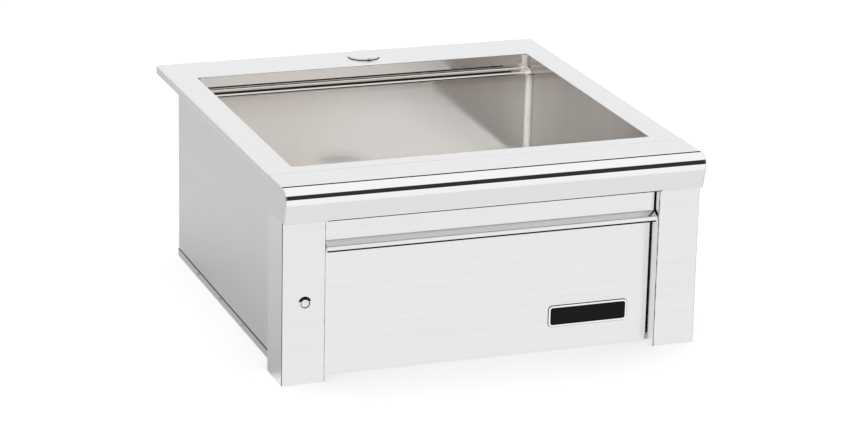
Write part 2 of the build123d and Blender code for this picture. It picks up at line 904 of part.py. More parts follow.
def make_strainer_fibre_washer():
    """The fibre washer between the gasket and the locknut."""
    ring = post_and_ring(gasket_radius, -washer_height, 0, strainer_radius + small_gap)
    return at_drain(ring, basin_under_z - gasket_height)


def make_strainer_locknut():
    """The lugged nut that clamps the strainer to the basin's floor."""
    ring = post_and_ring(locknut_radius, -locknut_height, 0)
    lug = Pos(locknut_radius, 0, -locknut_height / 2) * Box(2 * lug_length, lug_width, locknut_height)
    for place in PolarLocations(0, lug_count):
        ring += place * lug
    ring -= post_and_ring(strainer_radius + small_gap, -locknut_height, 0)
    return at_drain(ring, basin_under_z - gasket_height - washer_height)


def make_tail_washer():
    """The washer between the neck and the tailpiece's flange."""
    ring = post_and_ring(tailpiece_flange_radius, -tailpiece_flange, 0, neck_radius - neck_wall)
    return at_drain(ring, neck_end_z())


def slip_nut_low_z():
    """The height of the slip nut's lower face."""
    return neck_end_z() - 2 * tailpiece_flange - slip_nut_web


def make_tailpiece():
    """The flanged drain tube that a trap slides on to, slimmer where the slip nut goes round it."""
    top = neck_end_z() - tailpiece_flange
    bore = tailpiece_radius - tailpiece_wall
    waist_z = slip_nut_low_z() - small_gap
    tube = post_and_ring(tailpiece_radius, tailpiece_end, waist_z, bore)
    tube += post_and_ring(tailpiece_radius - tailpiece_waist, waist_z, top, bore)
    flange = post_and_ring(tailpiece_flange_radius, top - tailpiece_flange, top, bore)
    return at_drain(tube + flange)


def make_slip_nut():
    """The nut that draws the tailpiece up to the neck."""
    low = slip_nut_low_z()
    shoulder = low + slip_nut_web
    outer = neck_radius + small_gap + slip_nut_wall
    nut = Pos(0, 0, low) * extrude(RegularPolygon(outer, slip_nut_sides), amount=slip_nut_height)
    nut -= post_and_ring(neck_radius + small_gap, shoulder, low + slip_nut_height + margin)
    nut -= post_and_ring(tailpiece_radius + small_gap, low - margin, shoulder)
    return at_drain(nut)


def basket_radius():
    """The strainer basket's outer radius."""
    return strainer_radius - strainer_wall - basket_clearance


def make_strainer_basket():
    """The lift-out basket: a perforated cup on a stem that drops through the strainer's floor."""
    outer = basket_radius()
    top = -basket_top
    low = top - basket_depth
    cup = post_and_ring(outer, low, top) - post_and_ring(outer - basket_wall, low + basket_wall, top)
    side_hole = Plane.YZ * Cylinder(basket_hole_radius, outer)
    side_hole = Pos(outer, 0, 0) * side_hole
    row_pitch = basket_depth / (basket_row_count + 1)
    for row in range(basket_row_count):
        for place in PolarLocations(0, basket_hole_count, start_angle=row * 180 / basket_hole_count):
            cup -= Pos(0, 0, top - (row + 1) * row_pitch) * (place * side_hole)
    for count, circle in zip(basket_floor_counts, basket_floor_circles):
        for place in PolarLocations(circle, count):
            cup -= Pos(0, 0, low) * (place * Cylinder(basket_hole_radius, 2 * margin))
    stem_low = -strainer_depth - stem_tail
    cup += post_and_ring(stem_radius, stem_low, -knob_height)
    return at_drain(cup, seat_z)


def make_basket_stopper():
    """The rubber stopper under the basket, which seals the strainer's floor."""
    low = small_gap - strainer_depth
    high = -basket_top - basket_depth
    ring = post_and_ring(stopper_radius, low, high, stem_radius)
    ring = fillet(ring.edges().group_by(Axis.Z)[0].sort_by(SortBy.LENGTH)[-1], stopper_round)
    return at_drain(ring, seat_z)


def make_basket_knob():
    """The knob that the basket is lifted by."""
    knob = post_and_ring(knob_radius, -knob_height, 0)
    return at_drain(fillet(knob.edges().group_by(Axis.Z)[-1], knob_round), seat_z)


nodes = {
    "deck_plate": make_deck_plate(),
    "basin": make_basin(),
    "sound_pad_left": other_side(make_sound_pad()),
    "sound_pad_right": make_sound_pad(),
    "tap_hole_cover": make_tap_hole_cover(),
    "cover_gasket": make_cover_gasket(),
    "tap_hole_backing_plate": make_tap_hole_backing_plate(),
    "cover_wing_nut": make_cover_wing_nut(),
    "front_nose": make_front_nose(),
    "nose_end_cap_left": other_side(make_nose_end_cap()),
    "nose_end_cap_right": make_nose_end_cap(),
    "front_top_strip": make_front_top_strip(),
    "post_left": make_post_left(),
    "post_right": make_post(),
    "front_crossmember": make_front_crossmember(),
    "side_panel_left": other_side(make_side_panel()),
    "side_panel_right": make_side_panel(),
    "back_panel": make_back_panel(),
    "bottom_pan": make_bottom_pan(),
    "pan_screws": make_pan_screws(),
    "post_screws": make_post_screws(),
    "front_panel": make_front_panel(),
    "front_panel_back_plate": make_front_panel_back_plate(),
    "pull_rail": make_pull_rail(),
    "pull_end_caps": make_pull_end_caps(),
    "hinge_pins": make_hinge_pins(),
    "hinge_bushes": make_hinge_bushes(),
    "strike_plates": make_strike_plates(),
    "magnet_catches": make_magnet_catches(),
    "magnet_brackets": make_magnet_brackets(),
    "name_plate_frame": make_name_plate_frame(),
    "name_plate_field": make_name_plate_field(),
    "button_bezel": make_button_bezel(),
    "push_button": make_push_button(),
    "button_spring": make_button_spring(),
    "button_end_cap": make_button_end_cap(),
    "button_locknut": make_button_locknut(),
    "strainer_body": make_strainer_body(),
    "strainer_gasket": make_strainer_gasket(),
    "strainer_fibre_washer": make_strainer_fibre_washer(),
    "strainer_locknut": make_strainer_locknut(),
    "tail_washer": make_tail_washer(),
    "tailpiece": make_tailpiece(),
    "slip_nut": make_slip_nut(),
    "strainer_basket": make_strainer_basket(),
    "basket_stopper": make_basket_stopper(),
    "basket_knob": make_basket_knob(),
}

os.makedirs("parts", exist_ok=True)
for name, shape in nodes.items():
    export_step(shape, f"parts/{name}.step")
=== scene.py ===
"""The looks of a drop-in outdoor sink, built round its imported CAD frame.

Metres, +Z up and the front towards -Y. The sheet pieces that show most are made again here with their bends and
softened edges. The other CAD nodes stay as they are and get their finishes.
"""

import logging
import math
from dataclasses import dataclass, field, replace
from enum import Enum
from typing import Iterable

import bmesh
import bpy
import numpy as np
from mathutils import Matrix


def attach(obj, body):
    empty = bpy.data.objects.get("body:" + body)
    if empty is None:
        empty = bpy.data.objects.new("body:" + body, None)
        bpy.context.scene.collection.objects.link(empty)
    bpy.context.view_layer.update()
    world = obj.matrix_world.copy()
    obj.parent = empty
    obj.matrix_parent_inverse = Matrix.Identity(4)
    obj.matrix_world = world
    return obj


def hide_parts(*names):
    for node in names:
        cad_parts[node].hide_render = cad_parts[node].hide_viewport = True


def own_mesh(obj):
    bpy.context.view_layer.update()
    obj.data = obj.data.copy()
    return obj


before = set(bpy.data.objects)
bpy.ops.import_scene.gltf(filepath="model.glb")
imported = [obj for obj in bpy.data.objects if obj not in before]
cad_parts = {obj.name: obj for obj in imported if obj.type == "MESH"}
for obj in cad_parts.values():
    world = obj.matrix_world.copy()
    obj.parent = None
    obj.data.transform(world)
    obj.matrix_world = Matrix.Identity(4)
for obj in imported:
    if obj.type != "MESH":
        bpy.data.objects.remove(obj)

log = logging.getLogger("outdoor_sink")

Points = np.ndarray
Grid = np.ndarray
Span = tuple[float, float]
Triple = tuple[float, float, float]
Colour = Triple
Socket = bpy.types.NodeSocket
Material = bpy.types.Material

# How far a flat's first points lie from its bends, which keeps its shading flat
BRACE = 0.0004

# Points nearer than this are one, and shorter edges than the second are dissolved
MERGE, SLIVER = 2e-6, 1e-6

# Edges that turn by more degrees than this are shaded sharp, and past the second they can be rounded, in so many steps
SHARP, SOFT_FROM, SOFT_STEPS = 32.0, 50.0, 2

# The range that most of a noise keeps to
DARK, LIGHT = 0.3, 0.7


class Axis(Enum):
    """A row axis, by its place in a point."""

    X = 0
    Y = 1
    Z = 2


class Body(str, Enum):
    """The CAD bodies that new pieces ride on."""

    SINK = "sink"
    PANEL = "access_panel"
    BUTTON = "button"


# Lines and surfaces


def unit(vectors: Points) -> Points:
    """Vectors divided by their own lengths."""
    return vectors / np.linalg.norm(vectors, axis=-1, keepdims=True)


def arc(centre: Iterable[float], radius: float, start: float, end: float, count: int = 9) -> Points:
    """Points on a circle: the centre plus the radius times the cosine and sine of each angle.

    Args:
        centre: the circle's middle, in its plane.
        radius: the circle's radius.
        start: the first angle, in degrees.
        end: the last angle, in degrees.
        count: how many points.

    Returns:
        The points, one per row.
    """
    turn = np.radians(np.linspace(start, end, count))
    return np.asarray(centre) + radius * np.stack([np.cos(turn), np.sin(turn)], axis=-1)


def bent(corners: Points, radius: float, count: int = 6) -> Points:
    """A line of straight runs whose inner corners are all rounded to one bend radius.

    Each arc's middle lies on the corner's bisector, radius / sin(half the corner's angle) away, and its points turn
    evenly from the first run's normal to the second's. A brace point on the run at either side of each arc keeps the
    shading of the flats flat.

    Args:
        corners: the ends and corners of the line.
        radius: the bend radius.
        count: how many points each bend gets.

    Returns:
        The line's points.
    """
    line = np.asarray(corners, float)
    to_last, to_next = unit(line[:-2] - line[1:-1]), unit(line[2:] - line[1:-1])
    half = np.arccos(np.clip(np.sum(to_last * to_next, axis=1), -1, 1)) / 2
    middle = line[1:-1] + unit(to_last + to_next) * (radius / np.sin(half))[:, None]
    reach = (radius / np.tan(half))[:, None]
    first, last = line[1:-1] + to_last * reach - middle, line[1:-1] + to_next * reach - middle
    turn = (math.pi - 2 * half)[:, None, None]
    share = np.linspace(0, 1, count)[None, :, None]
    spokes = (np.sin((1 - share) * turn) * first[:, None] + np.sin(share * turn) * last[:, None]) / np.sin(turn)
    before, after = line[1:-1] + to_last * (reach + BRACE), line[1:-1] + to_next * (reach + BRACE)
    bends = np.concatenate([before[:, None], middle[:, None] + spokes, after[:, None]], axis=1)
    return np.concatenate([line[:1], bends.reshape(-1, 2), line[-1:]])


def beside(line: Points, distance: float) -> Points:
    """A line's parallel, to its left: each point moves along the mitre of the runs that meet there.

    Args:
        line: the points of an open line.
        distance: how far to the left.

    Returns:
        The parallel's points.
    """
    along = unit(np.diff(line, axis=0))
    left = np.stack([-along[:, 1], along[:, 0]], axis=1)
    before, after = np.concatenate([left[:1], left]), np.concatenate([left, left[-1:]])
    mitre = (before + after) / (1 + np.sum(before * after, axis=1, keepdims=True))
    return line + distance * mitre


def carried(line: Points, axis: Axis, places: Iterable[float]) -> Grid:
    """A line in the plane across an axis, repeated at each place along it.

    Args:
        line: points whose columns are the other two axes, in X, Y, Z order.
        axis: the axis to carry the line along.
        places: where the line is put.

    Returns:
        A grid with one row for each point and one column for each place.
    """
    spots = np.asarray(list(places), float)
    shape = (len(line), len(spots))
    flat = [np.broadcast_to(line[:, i, None], shape) for i in range(2)]
    flat.insert(axis.value, np.broadcast_to(spots, shape))
    return np.stack(flat, axis=-1)


def folded_sheet(line: Points, sheet: float, axis: Axis, low: float, high: float) -> list[Grid]:
    """A bent sheet: a line and its parallel, carried along an axis and closed at both ends.

    Args:
        line: the sheet's outer side, with the sheet to its left.
        sheet: the sheet's thickness.
        axis: the axis that the bends run along.
        low: where the sheet begins on it.
        high: where it ends.

    Returns:
        The grids of its skin and of its two cut ends.
    """
    return between(line, beside(line, sheet), axis, low, high)


def between(outer: Points, inner: Points, axis: Axis, low: float, high: float) -> list[Grid]:
    """A plate between two lines of as many points, carried along an axis and closed at both ends.

    Args:
        outer: the plate's outer side.
        inner: its inner side, point for point.
        axis: the axis to carry them along.
        low: where the plate begins on it.
        high: where it ends.

    Returns:
        The grids of its skin and of its two cut ends.
    """
    skin = carried(np.concatenate([outer, inner[::-1], outer[:1]]), axis, (low, high))
    both = np.stack([carried(outer, axis, (low, high)), carried(inner, axis, (low, high))])
    return [skin, both[:, :, 0], both[:, :, 1]]


def turned(profile: Points, count: int = 72) -> Grid:
    """A profile of radius and height turned about Z: x and y are the radius times the cosine and sine of the turn.

    Args:
        profile: radius and height, from the axis or back to the first point.
        count: how many steps a full turn has.

    Returns:
        A grid with one row for each profile point.
    """
    turn = np.linspace(0, 2 * math.pi, count + 1)
    radius, height = profile[:, :1], np.broadcast_to(profile[:, 1:], (len(profile), count + 1))
    return np.stack([radius * np.cos(turn), radius * np.sin(turn), height], axis=-1)


def rounded_rectangle(low: Iterable[float], high: Iterable[float], radii: Iterable[float],
                      count: int = 9) -> tuple[Points, Points]:
    """A closed outline of four corner arcs, anticlockwise from the corner with low x and low y.

    Args:
        low: the lowest x and y.
        high: the highest x and y.
        radii: the four corners' radii, in the same order.
        count: how many points each corner gets.

    Returns:
        The outline's points and its outward directions, with the first repeated at the end.
    """
    (x0, y0), (x1, y1) = low, high
    radius = np.asarray(list(radii), float)[:, None, None]
    corner = np.array([(x0, y0), (x1, y0), (x1, y1), (x0, y1)], float)[:, None]
    inward = np.array([(1, 1), (-1, 1), (-1, -1), (1, -1)], float)[:, None]
    turn = np.radians(np.array([180, 270, 0, 90])[:, None] + np.linspace(0, 90, count))
    out = np.stack([np.cos(turn), np.sin(turn)], axis=-1)
    line = (corner + inward * radius + out * radius).reshape(-1, 2)
    out = out.reshape(-1, 2)
    return np.concatenate([line, line[:1]]), np.concatenate([out, out[:1]])


def mirrored(grid: Grid, middle: float, axis: Axis) -> Grid:
    """A grid's mirror image across a plane: each point goes as far past the plane as it was before it.

    Args:
        grid: the grid.
        middle: where the plane cuts the axis.
        axis: the axis across the plane.

    Returns:
        The mirrored grid.
    """
    image = grid.copy()
    image[..., axis.value] = 2 * middle - image[..., axis.value]
    return image


# Meshes


def quad_indices(rows: int, columns: int) -> np.ndarray:
    """The corners of every quad of a grid, as places in its row-by-row list of points."""
    first = np.arange(rows - 1)[:, None] * columns + np.arange(columns - 1)
    return np.stack([first, first + 1, first + columns + 1, first + columns], axis=-1).reshape(-1, 4)


def make_mesh(name: str, grids: list[Grid], sharp: float = SHARP) -> bpy.types.Object:
    """One object from grids: points that meet are merged, faces point outwards, and edges past an angle stay sharp.

    Args:
        name: the object's and mesh's name.
        grids: the surfaces, in the row frame.
        sharp: the angle in degrees past which an edge is shaded sharp.

    Returns:
        The new object, at the origin.
    """
    starts = np.cumsum([0] + [grid.shape[0] * grid.shape[1] for grid in grids[:-1]])
    points = np.concatenate([grid.reshape(-1, 3) for grid in grids])
    quads = np.concatenate([quad_indices(*grid.shape[:2]) + start for grid, start in zip(grids, starts)])
    mesh = bpy.data.meshes.new(name)
    mesh.vertices.add(len(points))
    mesh.vertices.foreach_set("co", points.astype(np.float32).ravel())
    mesh.loops.add(quads.size)
    mesh.loops.foreach_set("vertex_index", quads.astype(np.int32).ravel())
    mesh.polygons.add(len(quads))
    mesh.polygons.foreach_set("loop_start", np.arange(0, quads.size, 4, dtype=np.int32))
    mesh.update(calc_edges=True)
    work = bmesh.new()
    work.from_mesh(mesh)
    bmesh.ops.remove_doubles(work, verts=work.verts, dist=MERGE)
    bmesh.ops.dissolve_degenerate(work, edges=work.edges, dist=SLIVER)
    bmesh.ops.recalc_face_normals(work, faces=work.faces)
    work.to_mesh(mesh)
    work.free()
    mesh.shade_smooth()
    mesh.set_sharp_from_angle(angle=math.radians(sharp))
    made = bpy.data.objects.new(name, mesh)
    bpy.context.scene.collection.objects.link(made)
    return made


def soften(piece: bpy.types.Object, width: float) -> None:
    """Rounds a piece's sharp edges, with flat faces kept flat in the shading.

    Args:
        piece: the piece.
        width: how far from its edge each rounding begins.
    """
    bevel = piece.modifiers.new("softened_edges", "BEVEL")
    bevel.width = width
    bevel.segments = SOFT_STEPS
    bevel.limit_method = "ANGLE"
    bevel.angle_limit = math.radians(SOFT_FROM)
    bevel.harden_normals = True


# Finishes


class Nodes:
    """The nodes of a material or a world: they are added by type and joined socket to socket."""

    def __init__(self, tree: bpy.types.NodeTree, coordinates: str = "Object") -> None:
        """Takes up a node tree, and the coordinates that its patterns read."""
        self.tree = tree
        self.coordinates = self.add("ShaderNodeTexCoord").outputs[coordinates]

    def add(self, kind: str, **settings: object) -> bpy.types.Node:
        """Adds a node.

        Args:
            kind: the node's type.
            settings: the node's own settings, by name.

        Returns:
            The new node.
        """
        node = self.tree.nodes.new(kind)
        for setting, value in settings.items():
            setattr(node, setting, value)
        return node

    def join(self, source: Socket, node: bpy.types.Node, socket: str | int) -> None:
        """Joins an output to one of a node's inputs."""
        self.tree.links.new(source, node.inputs[socket])

    def place(self, axis: Axis) -> Socket:
        """Reads the coordinates.

        Args:
            axis: the axis to read.

        Returns:
            How far along the axis the surface, or the way looked, lies.
        """
        split = self.add("ShaderNodeSeparateXYZ")
        self.join(self.coordinates, split, 0)
        return split.outputs[axis.value]

    def math(self, operation: str, *sources: Socket | float) -> Socket:
        """Works one or two values into a new one.

        Args:
            operation: what is done with them.
            sources: outputs, or plain numbers.

        Returns:
            The new value.
        """
        node = self.add("ShaderNodeMath", operation=operation)
        for socket, source in enumerate(sources):
            if isinstance(source, float):
                node.inputs[socket].default_value = source
            else:
                self.join(source, node, socket)
        return node.outputs[0]

    def spread(self, source: Socket, low: float, high: float, start: float = DARK, end: float = LIGHT,
               smooth: bool = False) -> Socket:
        """A value stretched from one range to another.

        Args:
            source: the value.
            low: what it becomes at the range's start.
            high: what it becomes at the range's end.
            start: where the range starts.
            end: where the range ends.
            smooth: whether it eases in and out.

        Returns:
            The stretched value.
        """
        ramp = self.add("ShaderNodeMapRange", interpolation_type="SMOOTHSTEP" if smooth else "LINEAR")
        for socket, value in (("From Min", start), ("From Max", end), ("To Min", low), ("To Max", high)):
            ramp.inputs[socket].default_value = value
        self.join(source, ramp, "Value")
        return ramp.outputs["Result"]


class Shader(Nodes):
    """A material in the making."""

    def __init__(self, name: str, **uniform: float) -> None:
        """Starts a material whose uniform values are set on the shader's own sockets.

        Args:
            name: the material's name.
            uniform: socket names with underscores for spaces, and their values.
        """
        self.material = bpy.data.materials.new(name)
        self.material.use_nodes = True
        super().__init__(self.material.node_tree)
        self.surface = self.tree.nodes["Principled BSDF"]
        for socket, value in uniform.items():
            self.surface.inputs[socket.replace("_", " ")].default_value = value

    def noise(self, scale: Triple, detail: float, roughness: float = 0.55, distortion: float = 0.0) -> Socket:
        """A noise over the piece's own coordinates, with its own frequency per metre on each axis.

        Args:
            scale: the frequencies.
            detail: how many finer layers are added.
            roughness: how strong the finer layers are.
            distortion: how far the pattern is swirled.

        Returns:
            The noise's value.
        """
        mapping = self.add("ShaderNodeMapping")
        mapping.inputs["Scale"].default_value = scale
        self.join(self.coordinates, mapping, "Vector")
        texture = self.add("ShaderNodeTexNoise")
        for socket, value in (("Scale", 1.0), ("Detail", detail), ("Roughness", roughness), ("Distortion", distortion)):
            texture.inputs[socket].default_value = value
        self.join(mapping.outputs["Vector"], texture, "Vector")
        return texture.outputs[0]

    def mean(self, first: Socket, second: Socket, share: float) -> Socket:
        """Mixes two values.

        Args:
            first: the one value.
            second: the other value.
            share: the second value's share of the whole.

        Returns:
            The mixed value.
        """
        mix = self.add("ShaderNodeMix", data_type="FLOAT")
        mix.inputs[0].default_value = share
        self.join(first, mix, 2)
        self.join(second, mix, 3)
        return mix.outputs[0]

    def within(self, source: Socket, low: float, high: float, blur: float) -> Socket:
        """1 where a value lies in a band and 0 outside it, with blurred limits."""
        return self.math("MULTIPLY", self.spread(source, 0.0, 1.0, low - blur, low + blur),
                         self.spread(source, 1.0, 0.0, high - blur, high + blur))

    def tint(self, source: Socket, dark: Colour, light: Colour, deep: Colour | None = None) -> None:
        """Colours the surface by a value.

        Args:
            source: the value.
            dark: the colour at the usual range's start.
            light: the colour at its end.
            deep: a third colour, at 0, which painted shade takes.
        """
        ramp = self.add("ShaderNodeValToRGB")
        ends = ramp.color_ramp.elements
        ends[0].position, ends[0].color = DARK, (*dark, 1.0)
        ends[1].position, ends[1].color = LIGHT, (*light, 1.0)
        if deep is not None:
            ends.new(0.0).color = (*deep, 1.0)
        self.join(source, ramp, "Fac")
        self.join(ramp.outputs["Color"], self.surface, "Base Color")

    def roughen(self, source: Socket) -> None:
        """Takes the surface's roughness from a value."""
        self.join(source, self.surface, "Roughness")

    def emboss(self, source: Socket, depth: float) -> None:
        """Raises the surface.

        Args:
            source: a value from 0 to 1.
            depth: how far 1 raises it.
        """
        bump = self.add("ShaderNodeBump")
        bump.inputs["Strength"].default_value = 1.0
        bump.inputs["Distance"].default_value = depth
        self.join(source, bump, "Height")
        self.join(bump.outputs["Normal"], self.surface, "Normal")


def shaded(colour: Colour, share: float) -> Colour:
    """A colour made lighter or darker by a share of itself."""
    red, green, blue = colour
    return (red * (1 + share), green * (1 + share), blue * (1 + share))


@dataclass(frozen=True)
class PaintedShadeLine:
    """A line of painted shade, for folds, seams, gaps and edges: where the distance from the middle along an axis lies
    in a band.
    """

    axis: Axis
    low: float
    high: float
    strength: float = 1.0
    blur: float = 0.0002

    def drawn(self, shader: Shader) -> Socket:
        """How dark the painted shade makes the surface: its strength on the line and 0 beside it."""
        distance = shader.math("ABSOLUTE", shader.place(self.axis))
        return shader.spread(shader.within(distance, self.low, self.high, self.blur), 0.0, self.strength, 0.0, 1.0)


@dataclass(frozen=True)
class BrushedSteel:
    """Sheet steel with straight brush lines: fine scratches and broader streaks, both drawn out along the grain, with
    painted shade lines where it has them.
    """

    name: str
    grain: Axis
    colour: Colour = (0.80, 0.80, 0.81)
    rough: Span = (0.17, 0.26)
    contrast: float = 0.035
    line_width: float = 0.0012
    line_length: float = 0.35
    line_fineness: float = 0.7
    streak_width: float = 0.012
    streak_share: float = 0.45
    depth: float = 0.000004
    # Painted shade lines, and the dark colour they are painted in.
    lines: tuple[PaintedShadeLine, ...] = ()
    painted_shade_colour: Colour = (0.02, 0.02, 0.02)

    def frequencies(self, width: float) -> Triple:
        """How often the grain repeats on each axis: rarely along it and once each width across it."""
        along, across = 1 / self.line_length, 1 / width
        return tuple(along if axis is self.grain else across for axis in Axis)

    def material(self) -> Material:
        """Makes the finish.

        Returns:
            The new material.
        """
        shader = Shader(self.name, Metallic=1.0)
        lines = shader.noise(self.frequencies(self.line_width), detail=4.0, roughness=self.line_fineness)
        streaks = shader.noise(self.frequencies(self.streak_width), detail=2.0)
        both = shader.mean(lines, streaks, self.streak_share)
        tone = both
        # Each painted shade line darkens the tone towards the painted shade colour.
        for line in self.lines:
            tone = shader.math("SUBTRACT", tone, line.drawn(shader))
        shader.tint(tone, shaded(self.colour, -self.contrast), shaded(self.colour, self.contrast), self.painted_shade_colour)
        shader.roughen(shader.spread(both, *self.rough))
        shader.emboss(lines, self.depth)
        return shader.material


@dataclass(frozen=True)
class NoseSteel:
    """The nose's sheet: a polished round, a sloping face brushed along X below a height, and painted shade lines at
    foot and seam.
    """

    name: str
    colour: Colour = (0.77, 0.77, 0.78)
    bright: Colour = (0.93, 0.93, 0.93)
    tones: Span = (0.32, 0.68)
    brushed: float = 0.20
    polished: float = 0.045
    uneven: Span = (0.8, 1.2)
    blend: Span = (0.3235, 0.3262)
    line_frequency: float = 3.0
    line_width: float = 0.0015
    line_fineness: float = 0.65
    line_share: float = 0.1
    # Painted shade: a dark line along the fascia's foot, only between the posts, one along the seam with the strip, and
    # their dark colour.
    toe: PaintedShadeLine = PaintedShadeLine(Axis.Z, 0.28, 0.2908)
    toe_shade_span: PaintedShadeLine = PaintedShadeLine(Axis.X, -1.0, 0.3043)
    seam: PaintedShadeLine = PaintedShadeLine(Axis.Y, 0.3868, 0.3886)
    painted_shade_colour: Colour = (0.05, 0.05, 0.05)

    def material(self) -> Material:
        """Makes the finish.

        Returns:
            The new material.
        """
        shader = Shader(self.name, Metallic=1.0)
        across = 1 / self.line_width
        lines = shader.noise((self.line_frequency, across, across), detail=3.0, roughness=self.line_fineness)
        height = shader.place(Axis.Z)
        rough = shader.spread(height, self.brushed, self.polished, *self.blend)
        shader.roughen(shader.math("MULTIPLY", rough, shader.spread(lines, *self.uneven)))
        polish = shader.spread(height, *self.tones, *self.blend)
        # The painted shade lines at the foot and at the seam.
        toe = shader.math("MULTIPLY", self.toe.drawn(shader), self.toe_shade_span.drawn(shader))
        dark = shader.math("MAXIMUM", toe, self.seam.drawn(shader))
        tone = shader.math("SUBTRACT", shader.mean(polish, lines, self.line_share), dark)
        shader.tint(tone, self.colour, self.bright, self.painted_shade_colour)
        return shader.material


@dataclass(frozen=True)
class DrawnSteel:
    """Deep-drawn basin steel: warm and satin, with a faint upright drift, polished bends and a blasted, matt floor.

    Painted light makes the walls paler towards +X below the ledge, and painted shade darkens the basin's two ends, more
    towards the front.
    """

    name: str
    colour: Colour = (0.685, 0.649, 0.617)
    floor_colour: Colour = (0.95, 0.94, 0.93)
    # Painted shade: the dark colour of the basin's two ends.
    end_shade_colour: Colour = (0.34, 0.322, 0.307)
    drift: Triple = (60.0, 60.0, 5.0)
    drift_share: float = 0.1
    cloud: Triple = (6.0, 6.0, 6.0)
    cloud_share: float = 0.5
    rough: Span = (0.10, 0.12)
    bend_polish: float = 0.35
    floor_dull: float = 6.0
    floor: Span = (0.130, 0.178)
    tones: Span = (0.68, 0.32)
    ledge: Span = (0.3110, 0.3355)
    corner: Span = (0.3190, 0.3297)
    blur: float = 0.0006
    # Painted light: the walls below the ledge grow paler towards +X.
    painted_light_share: float = 0.28
    painted_light_span: Span = (-0.15, 0.25)
    painted_light_top: Span = (0.300, 0.311)
    # Painted shade on the two ends: how sharply it begins, and how much lighter it is towards the back.
    end_shade_blur: float = 0.0004
    end_shade_tone: float = 0.11
    end_shade_span: Span = (0.10, 0.28)
    wave: float = 0.00001

    def material(self) -> Material:
        """Makes the finish.

        Returns:
            The new material.
        """
        shader = Shader(self.name, Metallic=1.0)
        drift = shader.noise(self.drift, detail=3.0)
        cloud = shader.noise(self.cloud, detail=2.0)
        both = shader.mean(drift, cloud, self.cloud_share)
        height = shader.place(Axis.Z)
        on_wall = shader.spread(height, 0.0, 1.0, *self.floor)
        ledge = shader.within(height, *self.ledge, self.blur)
        across = shader.math("ABSOLUTE", shader.place(Axis.X))
        corner = shader.within(across, *self.corner, self.blur)
        bends = shader.spread(shader.math("MAXIMUM", ledge, corner), 1.0, self.bend_polish, 0.0, 1.0)
        dull = shader.math("MULTIPLY", bends, shader.spread(height, self.floor_dull, 1.0, *self.floor))
        shader.roughen(shader.math("MULTIPLY", shader.spread(both, *self.rough), dull))
        # Painted light, paler towards +X below the ledge.
        pale = shader.math("MULTIPLY", shader.spread(shader.place(Axis.X), 0.0, self.painted_light_share, *self.painted_light_span),
                           shader.spread(height, 1.0, 0.0, *self.painted_light_top))
        tone = shader.math("ADD", shader.spread(height, *self.tones, *self.floor),
                           shader.math("MULTIPLY", pale, on_wall))
        # Painted shade: the two ends go dark, less so towards the back.
        end = self.corner[1]
        inner = shader.math("MULTIPLY", tone, shader.spread(across, 1.0, 0.0, end, end + self.end_shade_blur))
        inner = shader.math("MAXIMUM", inner, shader.spread(shader.place(Axis.Y), 0.0, self.end_shade_tone, *self.end_shade_span))
        shader.tint(shader.mean(inner, both, self.drift_share), self.colour, self.floor_colour, self.end_shade_colour)
        shader.join(on_wall, shader.surface, "Metallic")
        shader.emboss(cloud, self.wave)
        return shader.material


@dataclass(frozen=True)
class PolishedSteel:
    """Bright turned or stamped steel with fine wiping marks."""

    name: str
    colour: Colour = (0.80, 0.80, 0.81)
    rough: Span = (0.05, 0.11)
    metal: float = 1.0
    marks: float = 180.0
    swirl: float = 0.4
    contrast: Span = (-0.03, 0.02)

    def material(self) -> Material:
        """Makes the finish.

        Returns:
            The new material.
        """
        shader = Shader(self.name, Metallic=self.metal)
        marks = shader.noise((self.marks,) * 3, detail=4.0, distortion=self.swirl)
        shader.tint(marks, *(shaded(self.colour, share) for share in self.contrast))
        shader.roughen(shader.spread(marks, *self.rough))
        return shader.material


@dataclass(frozen=True)
class MouldedSurface:
    """Rubber, fibre or plastic: a speckled tone over a fine moulded grain."""

    name: str
    colour: Colour
    rough: Span = (0.45, 0.6)
    speckle: float = 0.15
    grain: float = 900.0
    cloud_size: float = 12.0
    cloud_share: float = 0.4
    depth: float = 0.00004
    gloss: float = 0.5

    def material(self) -> Material:
        """Makes the finish.

        Returns:
            The new material.
        """
        shader = Shader(self.name, Metallic=0.0, Specular_IOR_Level=self.gloss)
        fine = shader.noise((self.grain,) * 3, detail=2.0)
        cloud = shader.noise((self.grain / self.cloud_size,) * 3, detail=3.0)
        both = shader.mean(fine, cloud, self.cloud_share)
        shader.tint(both, shaded(self.colour, -self.speckle), shaded(self.colour, self.speckle))
        shader.roughen(shader.spread(both, *self.rough))
        shader.emboss(fine, self.depth)
        return shader.material


def of(recipe: BrushedSteel | NoseSteel | DrawnSteel | PolishedSteel | MouldedSurface) -> Material:
    """A field that holds a recipe's material, made when the finishes are."""
    return field(default_factory=recipe.material)


# A darker copy of the sheet steel, as painted shade, for the sides, the nose's end caps and the pan.
SHADED_SIDE_STEEL = BrushedSteel("steel_brushed_side_painted_shade", Axis.Y, colour=(0.77, 0.765, 0.77), rough=(0.16, 0.24))


